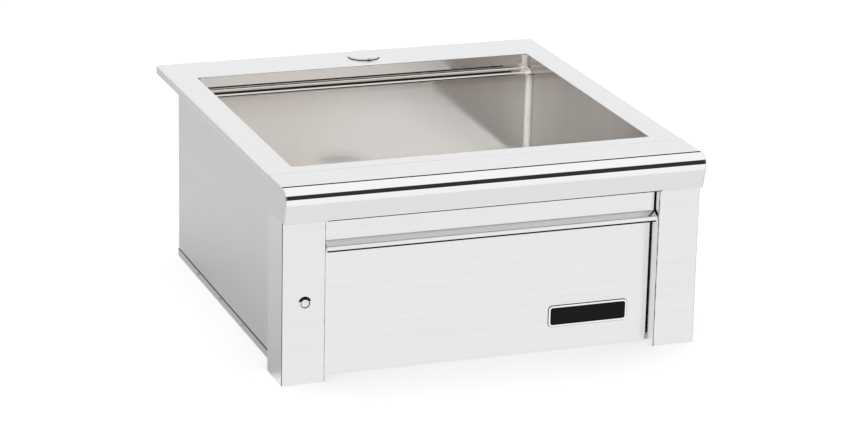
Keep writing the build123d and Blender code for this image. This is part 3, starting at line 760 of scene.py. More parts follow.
@dataclass(frozen=True)
class Finishes:
    """Every finish of the sink, made once as materials."""

    # Painted shade lines in the strip's two seams, with the deck and with the nose.
    across: Material = of(BrushedSteel("steel_brushed_across", Axis.X, lines=(
        PaintedShadeLine(Axis.Y, 0.3110, 0.3134, 0.30), PaintedShadeLine(Axis.Y, 0.3857, 0.3880, 0.8))))
    deep: Material = of(BrushedSteel("steel_brushed_front_to_back", Axis.Y))
    front: Material = of(BrushedSteel("steel_brushed_front", Axis.X, colour=(0.855, 0.855, 0.865)))
    # Painted shade lines: in the gap at the post's inner edge, in its outer bend, and a faint one over the outer
    # return's face.
    post: Material = of(BrushedSteel("steel_brushed_post", Axis.X, colour=(0.85, 0.85, 0.86), lines=(
        PaintedShadeLine(Axis.X, 0.3043, 0.3056, 0.45), PaintedShadeLine(Axis.X, 0.3798, 0.3807, 0.70, 0.0001),
        PaintedShadeLine(Axis.X, 0.3806, 0.3830, 0.12, 0.0001))))
    # Painted shade line along the lip's hem, under the pull.
    pull: Material = of(BrushedSteel("steel_brushed_pull", Axis.X, colour=(0.84, 0.84, 0.85), rough=(0.10, 0.16),
                                     lines=(PaintedShadeLine(Axis.Z, 0.2270, 0.2329),)))
    nose: Material = of(NoseSteel("steel_nose"))
    side: Material = of(SHADED_SIDE_STEEL)
    # The pan takes the sides' darker steel and a painted shade line along its lip's top edge.
    pan: Material = of(replace(SHADED_SIDE_STEEL, name="steel_brushed_pan_painted_shade", lines=(PaintedShadeLine(Axis.Z, 0.0128, 0.0150),)))
    # Painted shade line round the cover's lower edge, where it meets the deck.
    cover: Material = of(BrushedSteel("steel_brushed_cover", Axis.X, rough=(0.20, 0.28), lines=(
        PaintedShadeLine(Axis.Z, 0.3500, 0.3521),)))
    basin: Material = of(DrawnSteel("steel_drawn_basin"))
    plain: Material = of(BrushedSteel("steel_mill_finish", Axis.X, colour=(0.62, 0.62, 0.62), rough=(0.3, 0.42),
                                      line_length=0.06))
    bright: Material = of(PolishedSteel("steel_polished"))
    # Painted shade over the button ring's upper part.
    ring: Material = of(BrushedSteel("steel_button_ring", Axis.X, colour=(0.78, 0.78, 0.79), rough=(0.06, 0.10),
                                     lines=(PaintedShadeLine(Axis.Z, 0.1488, 0.1600, blur=0.0008),)))
    # Painted shade line round the name plate rim's sides, next to the panel's face.
    rim: Material = of(BrushedSteel("steel_plate_rim", Axis.X, colour=(0.97, 0.97, 0.97), contrast=0.01,
                                    lines=(PaintedShadeLine(Axis.Y, 0.3620, 0.3643, blur=0.0001),)))
    satin: Material = of(PolishedSteel("steel_blasted", colour=(0.93, 0.92, 0.91), rough=(0.45, 0.55), metal=0.2))
    screw: Material = of(PolishedSteel("steel_screw", colour=(0.55, 0.55, 0.56), rough=(0.18, 0.3)))
    spring: Material = of(PolishedSteel("steel_spring", colour=(0.5, 0.5, 0.51), rough=(0.25, 0.35)))
    rubber: Material = of(MouldedSurface("rubber_black", (0.025, 0.025, 0.025), rough=(0.6, 0.75)))
    pad: Material = of(MouldedSurface("rubber_pad", (0.07, 0.07, 0.075), rough=(0.75, 0.9), grain=350.0, depth=0.0002))
    fibre: Material = of(MouldedSurface("fibre_brown", (0.32, 0.21, 0.12), rough=(0.7, 0.85), grain=500.0))
    nylon: Material = of(MouldedSurface("nylon_white", (0.78, 0.78, 0.75)))
    plastic: Material = of(MouldedSurface("plastic_black", (0.03, 0.03, 0.03)))
    magnet: Material = of(MouldedSurface("ferrite_black", (0.05, 0.05, 0.052), rough=(0.35, 0.5)))
    enamel: Material = of(MouldedSurface("enamel_black", (0.008, 0.008, 0.008), rough=(0.2, 0.28), grain=400.0,
                                         depth=0.00001, gloss=0.10))


# Pieces


def dress(names: Iterable[str], finish: Material) -> None:
    """Gives CAD nodes a finish, with their meshes left alone.

    Args:
        names: the nodes' names.
        finish: their material.
    """
    for name in names:
        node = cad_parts[name]
        node.data.materials.clear()
        node.data.materials.append(finish)
        log.info("finish %s on node %s", finish.name, name)


def place(piece: bpy.types.Object, finish: Material, body: Body, node: str) -> None:
    """Puts a new piece in a CAD node's stead.

    Args:
        piece: the new piece, in the row frame.
        finish: its material.
        body: the CAD body that it rides on.
        node: the CAD node that it stands for.
    """
    piece.data.materials.append(finish)
    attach(piece, body.value)
    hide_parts(node)
    log.info("piece %s: %d faces, stands for %s", piece.name, len(piece.data.polygons), node)


@dataclass(frozen=True)
class Deck:
    """The deck sheet round the basin's opening, and the strip that carries it to the nose."""

    half: float = 0.381
    front: float = -0.31175
    back: float = 0.41225
    top: float = 0.351
    sheet: float = 0.0015
    edge: float = 0.016
    lip: float = 0.010
    bend: float = 0.0025
    soft: float = 0.0005
    front_blend: float = 0.0001
    front_corner: float = 0.0034
    back_corner: float = 0.004
    joint: float = 0.0008
    seam: float = 0.0013
    open_half: float = 0.3305
    open_front: float = -0.28075
    open_back: float = 0.30525
    open_corner: float = 0.002
    strip_front: float = -0.38675

    def plate(self) -> list[Grid]:
        """The deck sheet: one section, from the opening over the rim and down to the lip, carried round.

        The section's first points go out from the opening's outline and the others from the deck's outline. Along the
        front, where the strip begins, the turned-down edge draws up to a plain cut edge.

        Returns:
            One grid, closed both ways.
        """
        under, low = self.top - self.sheet, self.top - self.edge
        quarter = np.linspace(0, 90, 7)
        rise, run = np.sin(np.radians(quarter)), 1 - np.cos(np.radians(quarter))
        inner = np.stack([self.soft * run, self.top - self.soft * (1 - rise)], axis=1)
        inner = np.concatenate([[(0.0, under)], inner, [(self.soft + BRACE, self.top)]])
        bend = np.stack([rise - 1, -run], axis=1)
        tail = np.array([(0, low + self.sheet), (-self.sheet / 2, low), (-self.lip, low),
                         (-self.lip, low + self.sheet), (-self.sheet, low + self.sheet), (-self.sheet, under)])
        side = np.concatenate([[(-self.bend - BRACE, self.top)], bend * self.bend + (0, self.top), tail])
        plain = np.array([(0.0, under)] * (len(tail) - 1) + [(-self.sheet, under)])
        front = np.concatenate([[(-self.soft - BRACE, self.top)], bend * self.soft + (0, self.top), plain])
        line, out = rounded_rectangle((-self.open_half, self.open_front), (self.open_half, self.open_back),
                                      [self.open_corner] * 4)
        rim, rim_out = rounded_rectangle((-self.half, self.front), (self.half, self.back),
                                         [self.front_corner] * 2 + [self.back_corner] * 2)
        at_front = np.clip((self.front + self.front_blend - rim[:, 1]) / self.front_blend, 0, 1)[None, :, None]
        outer = side[:, None] * (1 - at_front) + front[:, None] * at_front
        near = line + inner[:, :1, None] * out
        far = rim + outer[..., :1] * rim_out
        heights = np.concatenate([np.broadcast_to(inner[:, 1:], near.shape[:2]), outer[..., 1]])
        ring = np.concatenate([np.concatenate([near, far]), heights[..., None]], axis=-1)
        return [np.concatenate([ring, ring[:1]])]

    def strip(self) -> list[Grid]:
        """The strip: a flat sheet between the deck and the nose's seam, with both its top edges rounded off.

        Returns:
            The grids of its skin and of its two cut ends.
        """
        back = arc((self.front - self.joint, self.top - self.joint), self.joint, 0, 90, 5)
        edge = arc((self.strip_front + self.seam, self.top - self.seam), self.seam, 90, 180, 9)
        upper = np.concatenate([back, [back[-1] - (BRACE, 0), edge[0] + (BRACE, 0)], edge])
        lower = upper * (1, 0) + (0, self.top - self.sheet)
        half = self.half - self.sheet
        return between(upper, lower, Axis.X, -half, half)

    def build(self, finishes: Finishes) -> None:
        """Makes the deck's pieces and dresses them.

        Args:
            finishes: the finishes to take.
        """
        plate = make_mesh("deck_sheet", self.plate())
        place(plate, finishes.deep, Body.SINK, "deck_plate")
        strip = make_mesh("deck_front_strip", self.strip())
        place(strip, finishes.across, Body.SINK, "front_top_strip")


@dataclass(frozen=True)
class Basin:
    """The basin: ledges front and back, rounded ends, and a floor that falls to the drain."""

    half: float = 0.3305
    middle: float = 0.01225
    reach: float = 0.293
    mouth: float = 0.3495
    ledge: float = 0.3206
    ledge_inner: float = 0.2770
    ledge_bend: float = 0.0060
    ledge_corner: float = 0.005
    ledge_turn: float = 5.5
    wall_turn: float = 0.4
    floor: float = 0.126
    foot_bend: float = 0.020
    end_bend: float = 0.012
    drain_place: float = 0.13225
    fall_reach: float = 0.133
    fall: float = 0.005
    recess: float = 0.060
    recess_depth: float = 0.003
    recess_brow: float = 0.004
    brow_share: float = 0.985
    recess_lip: float = 0.0004
    recess_wall: float = 0.0006
    recess_foot: Span = (0.0016, 0.0005)
    drain: float = 0.045
    sheet: float = 0.0015
    flange: float = 0.012
    spans: tuple[int, int] = (25, 21)
    end_points: int = 9
    brace_share: float = 0.998
    sharp: float = 40.0

    @property
    def foot_reach(self) -> float:
        """How far the floor's flat reaches from the middle: to the foot's middle, below the leaning lower wall.

        Returns:
            The distance.
        """
        turn = math.radians(self.wall_turn)
        rise = self.ledge - self.ledge_bend - self.floor - self.foot_bend
        return self.ledge_inner + rise * math.tan(turn) - (self.ledge_bend + self.foot_bend) / math.cos(turn)

    def half_profile(self, grow: float, inset: float) -> Points:
        """The wall's line from the mouth to the floor's edge, moved into the basin by an inset.

        The upper wall and the ledge are square to each other and turned a little together, so that the wall leans out
        on its way down and the ledge sheds water. The ledge turns over its bend, and the lower wall leans slightly out
        down to the foot. The bend and the foot keep their middles, and their radii take up the inset, as the hollow
        corner's does until it is sharp.

        Args:
            grow: the sheet's thickness for the outer skin, or 0 for the inner one.
            inset: how far the line moves in.

        Returns:
            Distance from the basin's middle and height.
        """
        out = grow - inset
        radius, corner = self.ledge_bend - out, max(self.ledge_corner + out, 0.0)
        crown = np.array([self.ledge_inner, self.ledge - self.ledge_bend])
        foot = np.array([self.foot_reach, self.floor + self.foot_bend])
        mouth = np.array([self.reach + out, self.mouth])
        turn, lean = math.radians(self.ledge_turn), math.radians(self.wall_turn)
        along, up = np.array([math.cos(turn), math.sin(turn)]), np.array([-math.sin(turn), math.cos(turn)])
        outward, rising = np.array([math.cos(lean), math.sin(lean)]), np.array([-math.sin(lean), math.cos(lean)])
        wall, flat = mouth @ along, crown @ up + radius
        return np.concatenate([
            [mouth - (0, grow), wall * along + (flat + corner + BRACE) * up],
            arc((wall - corner) * along + (flat + corner) * up, corner, self.ledge_turn, self.ledge_turn - 90, 13),
            [(wall - corner - BRACE) * along + flat * up, crown + BRACE * along + radius * up],
            arc(crown, radius, 90 + self.ledge_turn, 180 + self.wall_turn, 15),
            [crown - radius * outward - BRACE * rising, foot + (self.foot_bend + out) * outward + BRACE * rising],
            arc(foot, self.foot_bend + out, self.wall_turn, -90, 11),
        ])

    def skin(self, grow: float, across: Points, along: Points, turn: Points) -> tuple[list[Grid], Points]:
        """One skin of the basin and the line of its mouth.

        Args:
            grow: the sheet's thickness for the outer skin, or 0 for the inner one.
            across: shares of the straight width, from -1 to 1.
            along: shares of the floor's depth, from -1 to 1.
            turn: the angles of the end bends.

        Returns:
            The grids of its walls, ends and floor, and the mouth's points, anticlockwise from the front left.
        """
        bend = self.end_bend + grow
        straight = self.half - self.end_bend
        wall = self.half_profile(grow, 0.0)
        front = carried(wall * (-1, 1) + (self.middle, 0), Axis.X, across * straight)
        back = mirrored(front, self.middle, Axis.Y)
        ends = np.stack([self.half_profile(grow, bend * (1 - math.cos(angle))) for angle in turn], axis=1)
        places = np.broadcast_to(straight + bend * np.sin(turn), ends.shape[:2])
        near = np.stack([places, self.middle - ends[..., 0], ends[..., 1]], axis=-1)
        far = mirrored(near, self.middle, Axis.Y)
        depth = self.middle + along * self.foot_reach
        shape = (len(along), len(turn))
        gutter = np.stack([np.broadcast_to(places[0], shape), np.broadcast_to(depth[:, None], shape),
                           np.broadcast_to(near[-1, :, 2], shape)], axis=-1)
        spread = self.middle + ends[:, -1:, 0] * along
        plate = np.stack([np.full(spread.shape, self.half + grow), spread,
                          np.broadcast_to(ends[:, -1:, 1], spread.shape)], axis=-1)
        right = [near, far, gutter, plate]
        left = [mirrored(grid, 0.0, Axis.X) for grid in right]
        mouth = np.concatenate([front[0], near[0, 1:], plate[0, 1:], far[0, -2::-1], back[0, -2::-1], left[1][0, 1:],
                                left[3][0, -2::-1], left[0][0, -2::-1]])
        return [front, back, *right, *left, self.floor_grid(grow, across * straight, depth)], mouth

    def floor_grid(self, grow: float, xs: Points, ys: Points) -> Grid:
        """The floor: its edge drawn in to a circle, a shallow cone to the drain's recess, and the recess's seat.

        Args:
            grow: the sheet's thickness for the outer skin, or 0 for the inner one.
            xs: the places along the front and back edges.
            ys: the places along the side edges.

        Returns:
            A grid from the floor's edge to the drain hole.
        """
        front = np.stack([xs, np.full(len(xs), ys[0])], axis=1)
        side = np.stack([np.full(len(ys), xs[-1]), ys], axis=1)
        edge = np.concatenate([front, side[1:], front[-2::-1] + (0, ys[-1] - ys[0]), side[-2::-1] + (2 * xs[0], 0)])
        spoke = unit(edge - (0, self.drain_place))
        recess = self.recess + grow
        seat = self.fall + self.recess_depth
        run, ease = self.recess_foot
        rings = [(self.fall_reach, 0.0), (recess + self.recess_brow, self.fall * self.brow_share),
                 (recess, self.fall + self.recess_lip), (recess - self.recess_wall, seat - ease), (recess - run, seat),
                 (self.drain, seat)]
        circles = [np.concatenate([(0, self.drain_place) + spoke * radius,
                                   np.full((len(spoke), 1), self.floor - drop)], 1) for radius, drop in rings]
        grid = np.stack([np.concatenate([edge, np.full((len(edge), 1), self.floor)], 1), *circles])
        return grid - (0, 0, grow)

    def shell(self) -> list[Grid]:
        """Both skins, joined by the flange under the deck and by the drain hole's edge.

        Returns:
            The grids of both skins, of the flange and of the hole's edge.
        """
        ends = (-1, -self.brace_share, self.brace_share, 1)
        across, along = (np.union1d(np.linspace(-1, 1, count), ends) for count in self.spans)
        turn = np.radians(np.linspace(0, 90, self.end_points))
        inner, mouth = self.skin(0.0, across, along, turn)
        outer, outer_mouth = self.skin(self.sheet, across, along, turn)
        out = unit(outer_mouth[:, :2] - mouth[:, :2])
        brim = mouth + np.concatenate([out * self.flange, np.zeros((len(out), 1))], 1)
        flange = np.stack([mouth, brim, brim - (0, 0, self.sheet), outer_mouth])
        hole = np.stack([inner[-1][-1], outer[-1][-1]])
        return [*inner, *outer, flange, hole]

    def build(self, finishes: Finishes) -> None:
        """Makes the basin and dresses it and its pads.

        Args:
            finishes: the finishes to take.
        """
        shell = make_mesh("basin_shell", self.shell(), self.sharp)
        place(shell, finishes.basin, Body.SINK, "basin")
        dress(["sound_pad_left", "sound_pad_right"], finishes.pad)


@dataclass(frozen=True)
class FrontFrame:
    """The nose over the front, with its end caps, the posts and the angle between them."""

    half: float = 0.381
    face: float = -0.39175
    seam: float = -0.38725
    top: float = 0.350
    foot: float = 0.2888
    reach: float = 0.0205
    radius: float = 0.020
    tilt: float = 15.0
    toe_bend: float = 0.0018
    sheet: float = 0.0015
    soft: float = 0.0004

    def nose_line(self) -> Points:
        """The nose's outer side: flat from the seam, round over the front, down the slope and back to the posts.

        Returns:
            The line's points, in Y and Z.
        """
        middle = (self.face - self.reach + self.radius, self.top - self.radius)
        round_part = arc(middle, self.radius, 90, 180 + self.tilt, 40)
        drop = round_part[-1, 1] - self.foot
        toe = (round_part[-1, 0] + drop * math.tan(math.radians(self.tilt)), self.foot)
        fold = bent(np.array([round_part[-1], toe, (self.face, self.foot)]), self.toe_bend)
        down = unit(np.subtract(toe, round_part[-1]))
        return np.concatenate([[(self.seam, self.top), round_part[0] + (BRACE, 0)], round_part,
                               [round_part[-1] + BRACE * down], fold[1:]])

    def build(self, finishes: Finishes) -> None:
        """Makes the nose and dresses the frame.

        Args:
            finishes: the finishes to take.
        """
        half = self.half - self.sheet
        nose = make_mesh("nose_sheet", folded_sheet(self.nose_line(), self.sheet, Axis.X, -half, half))
        soften(nose, self.soft)
        place(nose, finishes.nose, Body.SINK, "front_nose")
        dress(["post_left", "post_right"], finishes.post)
        dress(["nose_end_cap_left", "nose_end_cap_right"], finishes.side)
        dress(["front_crossmember"], finishes.pull)
        dress(["magnet_brackets"], finishes.plain)
        dress(["magnet_catches"], finishes.magnet)
        dress(["hinge_bushes"], finishes.nylon)


@dataclass(frozen=True)
class AccessPanel:
    """The tilting panel: its folded front, the full-width pull and the blank name plate."""

    half: float = 0.3015
    face: float = -0.36275
    back: float = -0.34075
    foot: float = 0.003
    top: float = 0.233
    sheet: float = 0.0012
    bend: float = 0.0012
    soft: float = 0.0003
    strip: float = -0.37475
    lip: float = -0.38975
    pull_top: float = 0.283
    slope_top: float = 0.247
    lip_top: float = 0.240
    hem: float = 0.2298
    hem_width: float = 0.0032
    pull_bend: float = 0.0010
    pull_return: float = 0.016
    tongue: float = 0.020
    plate_x: float = 0.189
    plate_z: float = 0.064
    plate_size: tuple[float, float] = (0.150, 0.040)
    plate_corner: float = 0.008
    rim: float = 0.0042
    rim_height: float = 0.002
    rim_slope: float = 0.0014
    rim_edge: float = 0.0003
    field_height: float = 0.001
    field_shares: tuple[float, ...] = (1, 1, 0.985, 0.8, 0.5, 0.2, 0.0)
    field_crown: tuple[float, ...] = (0, 0.9, 1.0, 1.06, 1.1, 1.12, 1.12)

    def pull_line(self) -> Points:
        """The pull's outer side: top return, strip, slope, hemmed lip, and the tongue behind the panel's sheet.

        Returns:
            The line's points, in Y and Z.
        """
        inside = self.face + self.sheet
        return bent(np.array([
            (self.strip + self.pull_return, self.pull_top),
            (self.strip, self.pull_top),
            (self.strip, self.slope_top),
            (self.lip, self.lip_top),
            (self.lip, self.hem),
            (self.lip + self.hem_width, self.hem),
            (self.lip + self.hem_width, self.top),
            (inside, self.top),
            (inside, self.top - self.tongue),
        ]), self.pull_bend, 5)

    def front_sheet(self) -> list[Grid]:
        """The panel's front sheet, folded back at both sides, with its foot folded back between them.

        Returns:
            The grids of the sheet and of its foot.
        """
        line = bent(np.array([(-self.half, self.back), (-self.half, self.face), (self.half, self.face),
                              (self.half, self.back)]), self.bend)
        sides = folded_sheet(line, self.sheet, Axis.Z, self.foot, self.top)
        inner = self.half - self.sheet
        foot = np.array([(self.back, self.foot), (self.face + self.sheet, self.foot)])
        return [*sides, *folded_sheet(foot, -self.sheet, Axis.X, -inner, inner)]

    def on_face(self, line: Points, height: Points) -> Grid:
        """Outlines in X and Z set on the panel's face, each at its own height in front of it."""
        return np.stack([line[..., 0] + self.plate_x, self.face - height, line[..., 1] + self.plate_z], axis=-1)

    def plate_rim(self) -> list[Grid]:
        """The name plate's rim: a flat bead with a sloping outer side, carried round a rounded rectangle.

        Returns:
            One grid, closed both ways.
        """
        edge, top = self.rim_edge, self.rim_height
        section = bent(np.array([(0, 0), (0, edge), (self.rim_slope, top), (self.rim, top), (self.rim, 0), (0, 0)]),
                       edge / 2, 4)
        width, height = self.plate_size
        line, out = rounded_rectangle((-width / 2, -height / 2), (width / 2, height / 2), [self.plate_corner] * 4)
        ring = line - section[:, :1, None] * out
        return [self.on_face(ring, np.broadcast_to(section[:, 1:], ring.shape[:2]))]

    def plate_field(self) -> list[Grid]:
        """The name plate's blank field: its outline drawn in to a line, slightly crowned in the middle.

        Returns:
            One grid, from the outline to the line.
        """
        width, height = (size / 2 - self.rim for size in self.plate_size)
        line, _ = rounded_rectangle((-width, -height), (width, height), [self.plate_corner - self.rim / 2] * 4)
        share, crown = np.array(self.field_shares), self.field_height * np.array(self.field_crown)
        core = np.stack([np.clip(line[:, 0], -(width - height), width - height), np.zeros(len(line))], axis=1)
        rings = core + (line - core) * share[:, None, None]
        return [self.on_face(rings, np.broadcast_to(crown[:, None], rings.shape[:2]))]

    def build(self, finishes: Finishes) -> None:
        """Makes the panel's pieces and dresses them.

        Args:
            finishes: the finishes to take.
        """
        front = make_mesh("panel_sheet", self.front_sheet())
        place(front, finishes.front, Body.PANEL, "front_panel")
        inner = self.half - self.sheet
        pull = make_mesh("pull_sheet", folded_sheet(self.pull_line(), self.sheet, Axis.X, -inner, inner))
        soften(pull, self.soft)
        place(pull, finishes.pull, Body.PANEL, "pull_rail")
        rim = make_mesh("plate_rim", self.plate_rim())
        place(rim, finishes.rim, Body.PANEL, "name_plate_frame")
        field = make_mesh("plate_field", self.plate_field())
        place(field, finishes.enamel, Body.PANEL, "name_plate_field")
        dress(["pull_end_caps"], finishes.pull)
        dress(["front_panel_back_plate", "strike_plates"], finishes.plain)
        dress(["hinge_pins"], finishes.screw)


@dataclass(frozen=True)
class PushButton:
    """The push button on the left post: a conical bezel round a shallow dished cap."""

    x: float = -0.3405
    face: float = -0.39175
    z: float = 0.1455
    bezel: float = 0.0115
    height: float = 0.0032
    bore: float = 0.0077
    crest: float = 0.0081
    cone: float = 0.0085
    cone_height: float = 0.0018
    edge: float = 0.0003
    barrel: float = 0.0099
    barrel_bore: float = 0.0085
    barrel_length: float = 0.030
    cap: float = 0.0074
    cap_edge: float = 0.0014
    dish_depth: float = 0.0004
    collar: float = 0.0082
    sunk: float = 0.0006
    cap_length: float = 0.011
    gap: float = 0.0003
    pocket: float = 0.0061
    travel: float = 0.0035

    def set_in(self, grid: Grid) -> Grid:
        """A grid turned about Z, with its front downwards, laid back along +Y in the post."""
        return np.stack([self.x - grid[..., 0], self.face + grid[..., 2], self.z + grid[..., 1]], axis=-1)

    def bezel_profile(self) -> Points:
        """The bezel's section: a conical ring in front of the post and a plain barrel behind it.

        Returns:
            Radius and height, from the ring's outer edge round to it again.
        """
        corners = [(self.bezel, 0.0), (self.bezel, -self.edge), (self.cone, -self.cone_height),
                   (self.crest, -self.height), (self.bore, -self.height), (self.bore, 0.0)]
        ring = bent(np.array(corners), self.edge / 2, 5)
        back = [(self.barrel_bore, 0.0), (self.barrel_bore, self.barrel_length),
                (self.barrel, self.barrel_length), (self.barrel, 0.0), (self.bezel, 0.0)]
        return np.concatenate([ring, back])

    def cap_profile(self) -> Points:
        """The cap's section: a dished face, a rounded edge, a collar, and a pocket for the spring.

        The face lies deeper by the dish's depth times 1 minus the square of the share of the cap's radius.

        Returns:
            Radius and height, from the face's middle to the pocket's.
        """
        front = self.sunk - self.height
        back = front + self.cap_length
        radius = np.linspace(0, self.cap - self.cap_edge, 8)
        dish = np.stack([radius, front + self.dish_depth * (1 - (radius / self.cap) ** 2)], axis=1)
        edge = arc((self.cap - self.cap_edge, front + self.cap_edge), self.cap_edge, -90, 0, 6)
        floor = front + self.cap_length / 2
        rest = [(self.cap, self.gap), (self.collar, self.gap), (self.collar, back), (self.pocket, back),
                (self.pocket, floor), (0.0, floor)]
        return np.concatenate([dish, edge, rest])

    def build(self, finishes: Finishes) -> None:
        """Makes the button's pieces and dresses them.

        Args:
            finishes: the finishes to take.
        """
        bezel = make_mesh("button_ring", [self.set_in(turned(self.bezel_profile()))])
        place(bezel, finishes.ring, Body.SINK, "button_bezel")
        cap = make_mesh("button_cap", [self.set_in(turned(self.cap_profile()))])
        place(cap, finishes.bright, Body.BUTTON, "push_button")
        dress(["button_spring"], finishes.spring)
        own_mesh(bpy.data.objects["button_spring"])
        dress(["button_end_cap", "button_locknut"], finishes.plastic)


@dataclass(frozen=True)
class TapHoleCover:
    """The round cover over the tap hole: a flat disc with a rounded rim and a stud below."""

    x: float = 0.018
    y: float = 0.36825
    seat: float = 0.352
    radius: float = 0.031
    height: float = 0.0035
    edge: float = 0.0015
    stud: float = 0.004
    stud_length: float = 0.042
    chamfer: float = 0.0006
    foot: float = 0.0002
    rings: int = 8
    steps: int = 96

    def profile(self) -> Points:
        """The cover's section, from the stud's end out to the rim and in over the face.

        Returns:
            Radius and height.
        """
        rim = arc((self.radius - self.edge, self.height - self.edge), self.edge, 0, 90, self.rings)
        inwards = np.linspace(self.radius - 2 * self.edge, 0, self.rings)
        face = np.stack([inwards, np.full(self.rings, self.height)], axis=1)
        stem = [(0, -self.stud_length), (self.stud - self.chamfer, -self.stud_length),
                (self.stud, self.chamfer - self.stud_length), (self.stud, 0.0), (self.radius - self.foot, 0.0),
                (self.radius, self.foot)]
        return np.concatenate([stem, rim, face])

    def build(self, finishes: Finishes) -> None:
        """Makes the cover and dresses what clamps it.

        Args:
            finishes: the finishes to take.
        """
        disc = make_mesh("cover_disc", [turned(self.profile(), self.steps) + (self.x, self.y, self.seat)])
        place(disc, finishes.cover, Body.SINK, "tap_hole_cover")
        dress(["cover_gasket"], finishes.rubber)
        dress(["tap_hole_backing_plate", "cover_wing_nut"], finishes.plain)


@dataclass(frozen=True)
class Enclosure:
    """The box under the deck, with its screws."""

    def build(self, finishes: Finishes) -> None:
        """Dresses the box's nodes.

        Args:
            finishes: the finishes to take.
        """
        dress(["side_panel_left", "side_panel_right", "back_panel"], finishes.side)
        dress(["bottom_pan"], finishes.pan)
        dress(["pan_screws", "post_screws"], finishes.screw)


@dataclass(frozen=True)
class Drain:
    """The strainer in the basin's floor, its lift-out basket, and the tailpiece below."""

    def build(self, finishes: Finishes) -> None:
        """Dresses the drain's nodes.

        Args:
            finishes: the finishes to take.
        """
        dress(["strainer_body", "strainer_basket"], finishes.satin)
        dress(["basket_knob", "tailpiece"], finishes.bright)
        dress(["strainer_gasket", "tail_washer", "basket_stopper"], finishes.rubber)
        dress(["strainer_fibre_washer"], finishes.fibre)
        dress(["strainer_locknut", "slip_nut"], finishes.plastic)


# Studio


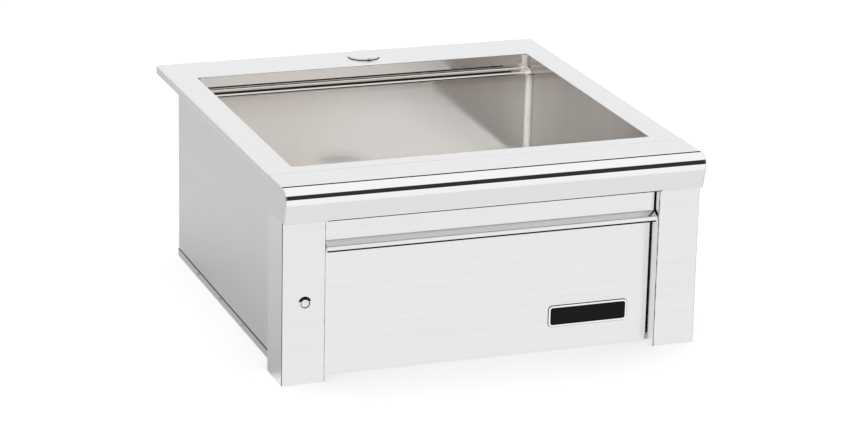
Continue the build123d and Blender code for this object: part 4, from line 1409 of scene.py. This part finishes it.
@dataclass(frozen=True)
class Studio:
    """A pale floor, soft light from above, and a white room with an upright dark card on the camera's side."""

    camera_place: Triple = (-1.82186, -4.99020, 1.87312)
    camera_turn: Triple = (72.04397, -1.20843, -19.84810)
    lens: float = 128.812
    sensor: float = 36.0
    sight: float = 100.0
    floor_front: float = -3.6
    floor_back: float = 6.0
    floor_half: float = 7.0
    floor_gap: float = 0.0004
    floor_colour: Colour = (0.70, 0.70, 0.70)
    floor_lift: float = 0.44
    floor_shine: float = 0.97
    shine: Span = (-0.32, -0.36)
    lamp_place: Triple = (0.0, 0.2, 3.2)
    lamp_size: float = 4.0
    lamp_power: float = 48.0
    card_top: Span = (0.765, 0.725)
    card_foot: Span = (0.160, 0.185)
    card_left: Span = (0.12, 0.20)
    card_right: Span = (0.56, 0.48)
    card_near: Span = (-0.15, -0.30)
    room_fill: float = 0.74
    room_dark: float = 0.033
    room_light: float = 1.0

    def camera(self) -> None:
        """The photograph's viewpoint."""
        data = bpy.data.cameras.new("view")
        data.lens = self.lens
        data.sensor_width = self.sensor
        data.clip_end = self.sight
        view = bpy.data.objects.new("view", data)
        view.location = self.camera_place
        view.rotation_euler = [math.radians(angle) for angle in self.camera_turn]
        bpy.context.scene.collection.objects.link(view)
        bpy.context.scene.camera = view

    def floor(self) -> None:
        """A flat pale floor.

        It keeps the sink's shadow, is white where nothing shades it, and mirrors as plain white in front of the sink.
        """
        xs, ys = np.linspace(-self.floor_half, self.floor_half, 2), np.linspace(self.floor_front, self.floor_back, 2)
        grid = np.stack([*np.meshgrid(xs, ys, indexing="ij"), np.full((2, 2), -self.floor_gap)], axis=-1)
        ground = make_mesh("studio_floor", [grid])
        material = bpy.data.materials.new("floor_pale")
        material.use_nodes = True
        material.node_tree.nodes.clear()
        nodes = Nodes(material.node_tree)
        rays = nodes.add("ShaderNodeLightPath").outputs
        matt = nodes.add("ShaderNodeBsdfDiffuse")
        matt.inputs["Color"].default_value = (*self.floor_colour, 1.0)
        glow, plain = nodes.add("ShaderNodeEmission"), nodes.add("ShaderNodeEmission")
        nodes.join(nodes.math("MULTIPLY", rays["Is Camera Ray"], self.floor_lift), glow, "Strength")
        plain.inputs["Strength"].default_value = self.floor_shine
        near = nodes.spread(nodes.place(Axis.Y), 0.0, 1.0, *self.shine)
        seen, total = nodes.add("ShaderNodeAddShader"), nodes.add("ShaderNodeMixShader")
        nodes.join(matt.outputs[0], seen, 0)
        nodes.join(glow.outputs[0], seen, 1)
        nodes.join(nodes.math("MULTIPLY", near, rays["Is Glossy Ray"]), total, 0)
        nodes.join(seen.outputs[0], total, 1)
        nodes.join(plain.outputs[0], total, 2)
        nodes.join(total.outputs[0], nodes.add("ShaderNodeOutputMaterial"), "Surface")
        ground.data.materials.append(material)

    def lamp(self) -> None:
        """One large soft lamp over the sink, which metal doesn't mirror."""
        data = bpy.data.lights.new("overhead_lamp", "AREA")
        data.shape = "SQUARE"
        data.size = self.lamp_size
        data.energy = self.lamp_power
        lamp = bpy.data.objects.new("overhead_lamp", data)
        lamp.location = self.lamp_place
        lamp.visible_glossy = False
        bpy.context.scene.collection.objects.link(lamp)

    def room(self) -> None:
        """The room as a world: white all round and above, with the dark card where the camera doesn't look at it."""
        world = bpy.data.worlds.new("studio_room")
        world.use_nodes = True
        bpy.context.scene.world = world
        world.node_tree.nodes.clear()
        nodes = Nodes(world.node_tree, "Generated")
        rays = nodes.add("ShaderNodeLightPath").outputs
        dark = nodes.math("SUBTRACT", 1.0, rays["Is Camera Ray"])
        for axis, span in ((Axis.Z, self.card_top), (Axis.Z, self.card_foot), (Axis.X, self.card_left),
                           (Axis.X, self.card_right), (Axis.Y, self.card_near)):
            dark = nodes.math("MULTIPLY", dark, nodes.spread(nodes.place(axis), 0.0, 1.0, *span, smooth=True))
        shade = nodes.spread(dark, 1.0, self.room_dark, 0.0, 1.0)
        looked_at = nodes.math("MAXIMUM", rays["Is Camera Ray"], rays["Is Glossy Ray"])
        level = nodes.spread(looked_at, self.room_fill, self.room_light, 0.0, 1.0)
        light = nodes.add("ShaderNodeBackground")
        light.inputs["Color"].default_value = (1.0, 1.0, 1.0, 1.0)
        nodes.join(nodes.math("MULTIPLY", level, shade), light, "Strength")
        nodes.join(light.outputs[0], nodes.add("ShaderNodeOutputWorld"), "Surface")

    def build(self) -> None:
        """Sets up the view, the floor and the light."""
        bpy.context.scene.view_settings.view_transform = "Standard"
        self.camera()
        self.floor()
        self.lamp()
        self.room()


def main() -> None:
    """Builds every sub-assembly in order, then the studio."""
    logging.basicConfig(level=logging.INFO, format="%(name)s: %(message)s")
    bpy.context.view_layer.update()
    finishes = Finishes()
    for assembly in (Deck(), Basin(), FrontFrame(), AccessPanel(), PushButton(), TapHoleCover(), Enclosure(), Drain()):
        assembly.build(finishes)
    Studio().build()


if __name__ == "__main__":
    main()
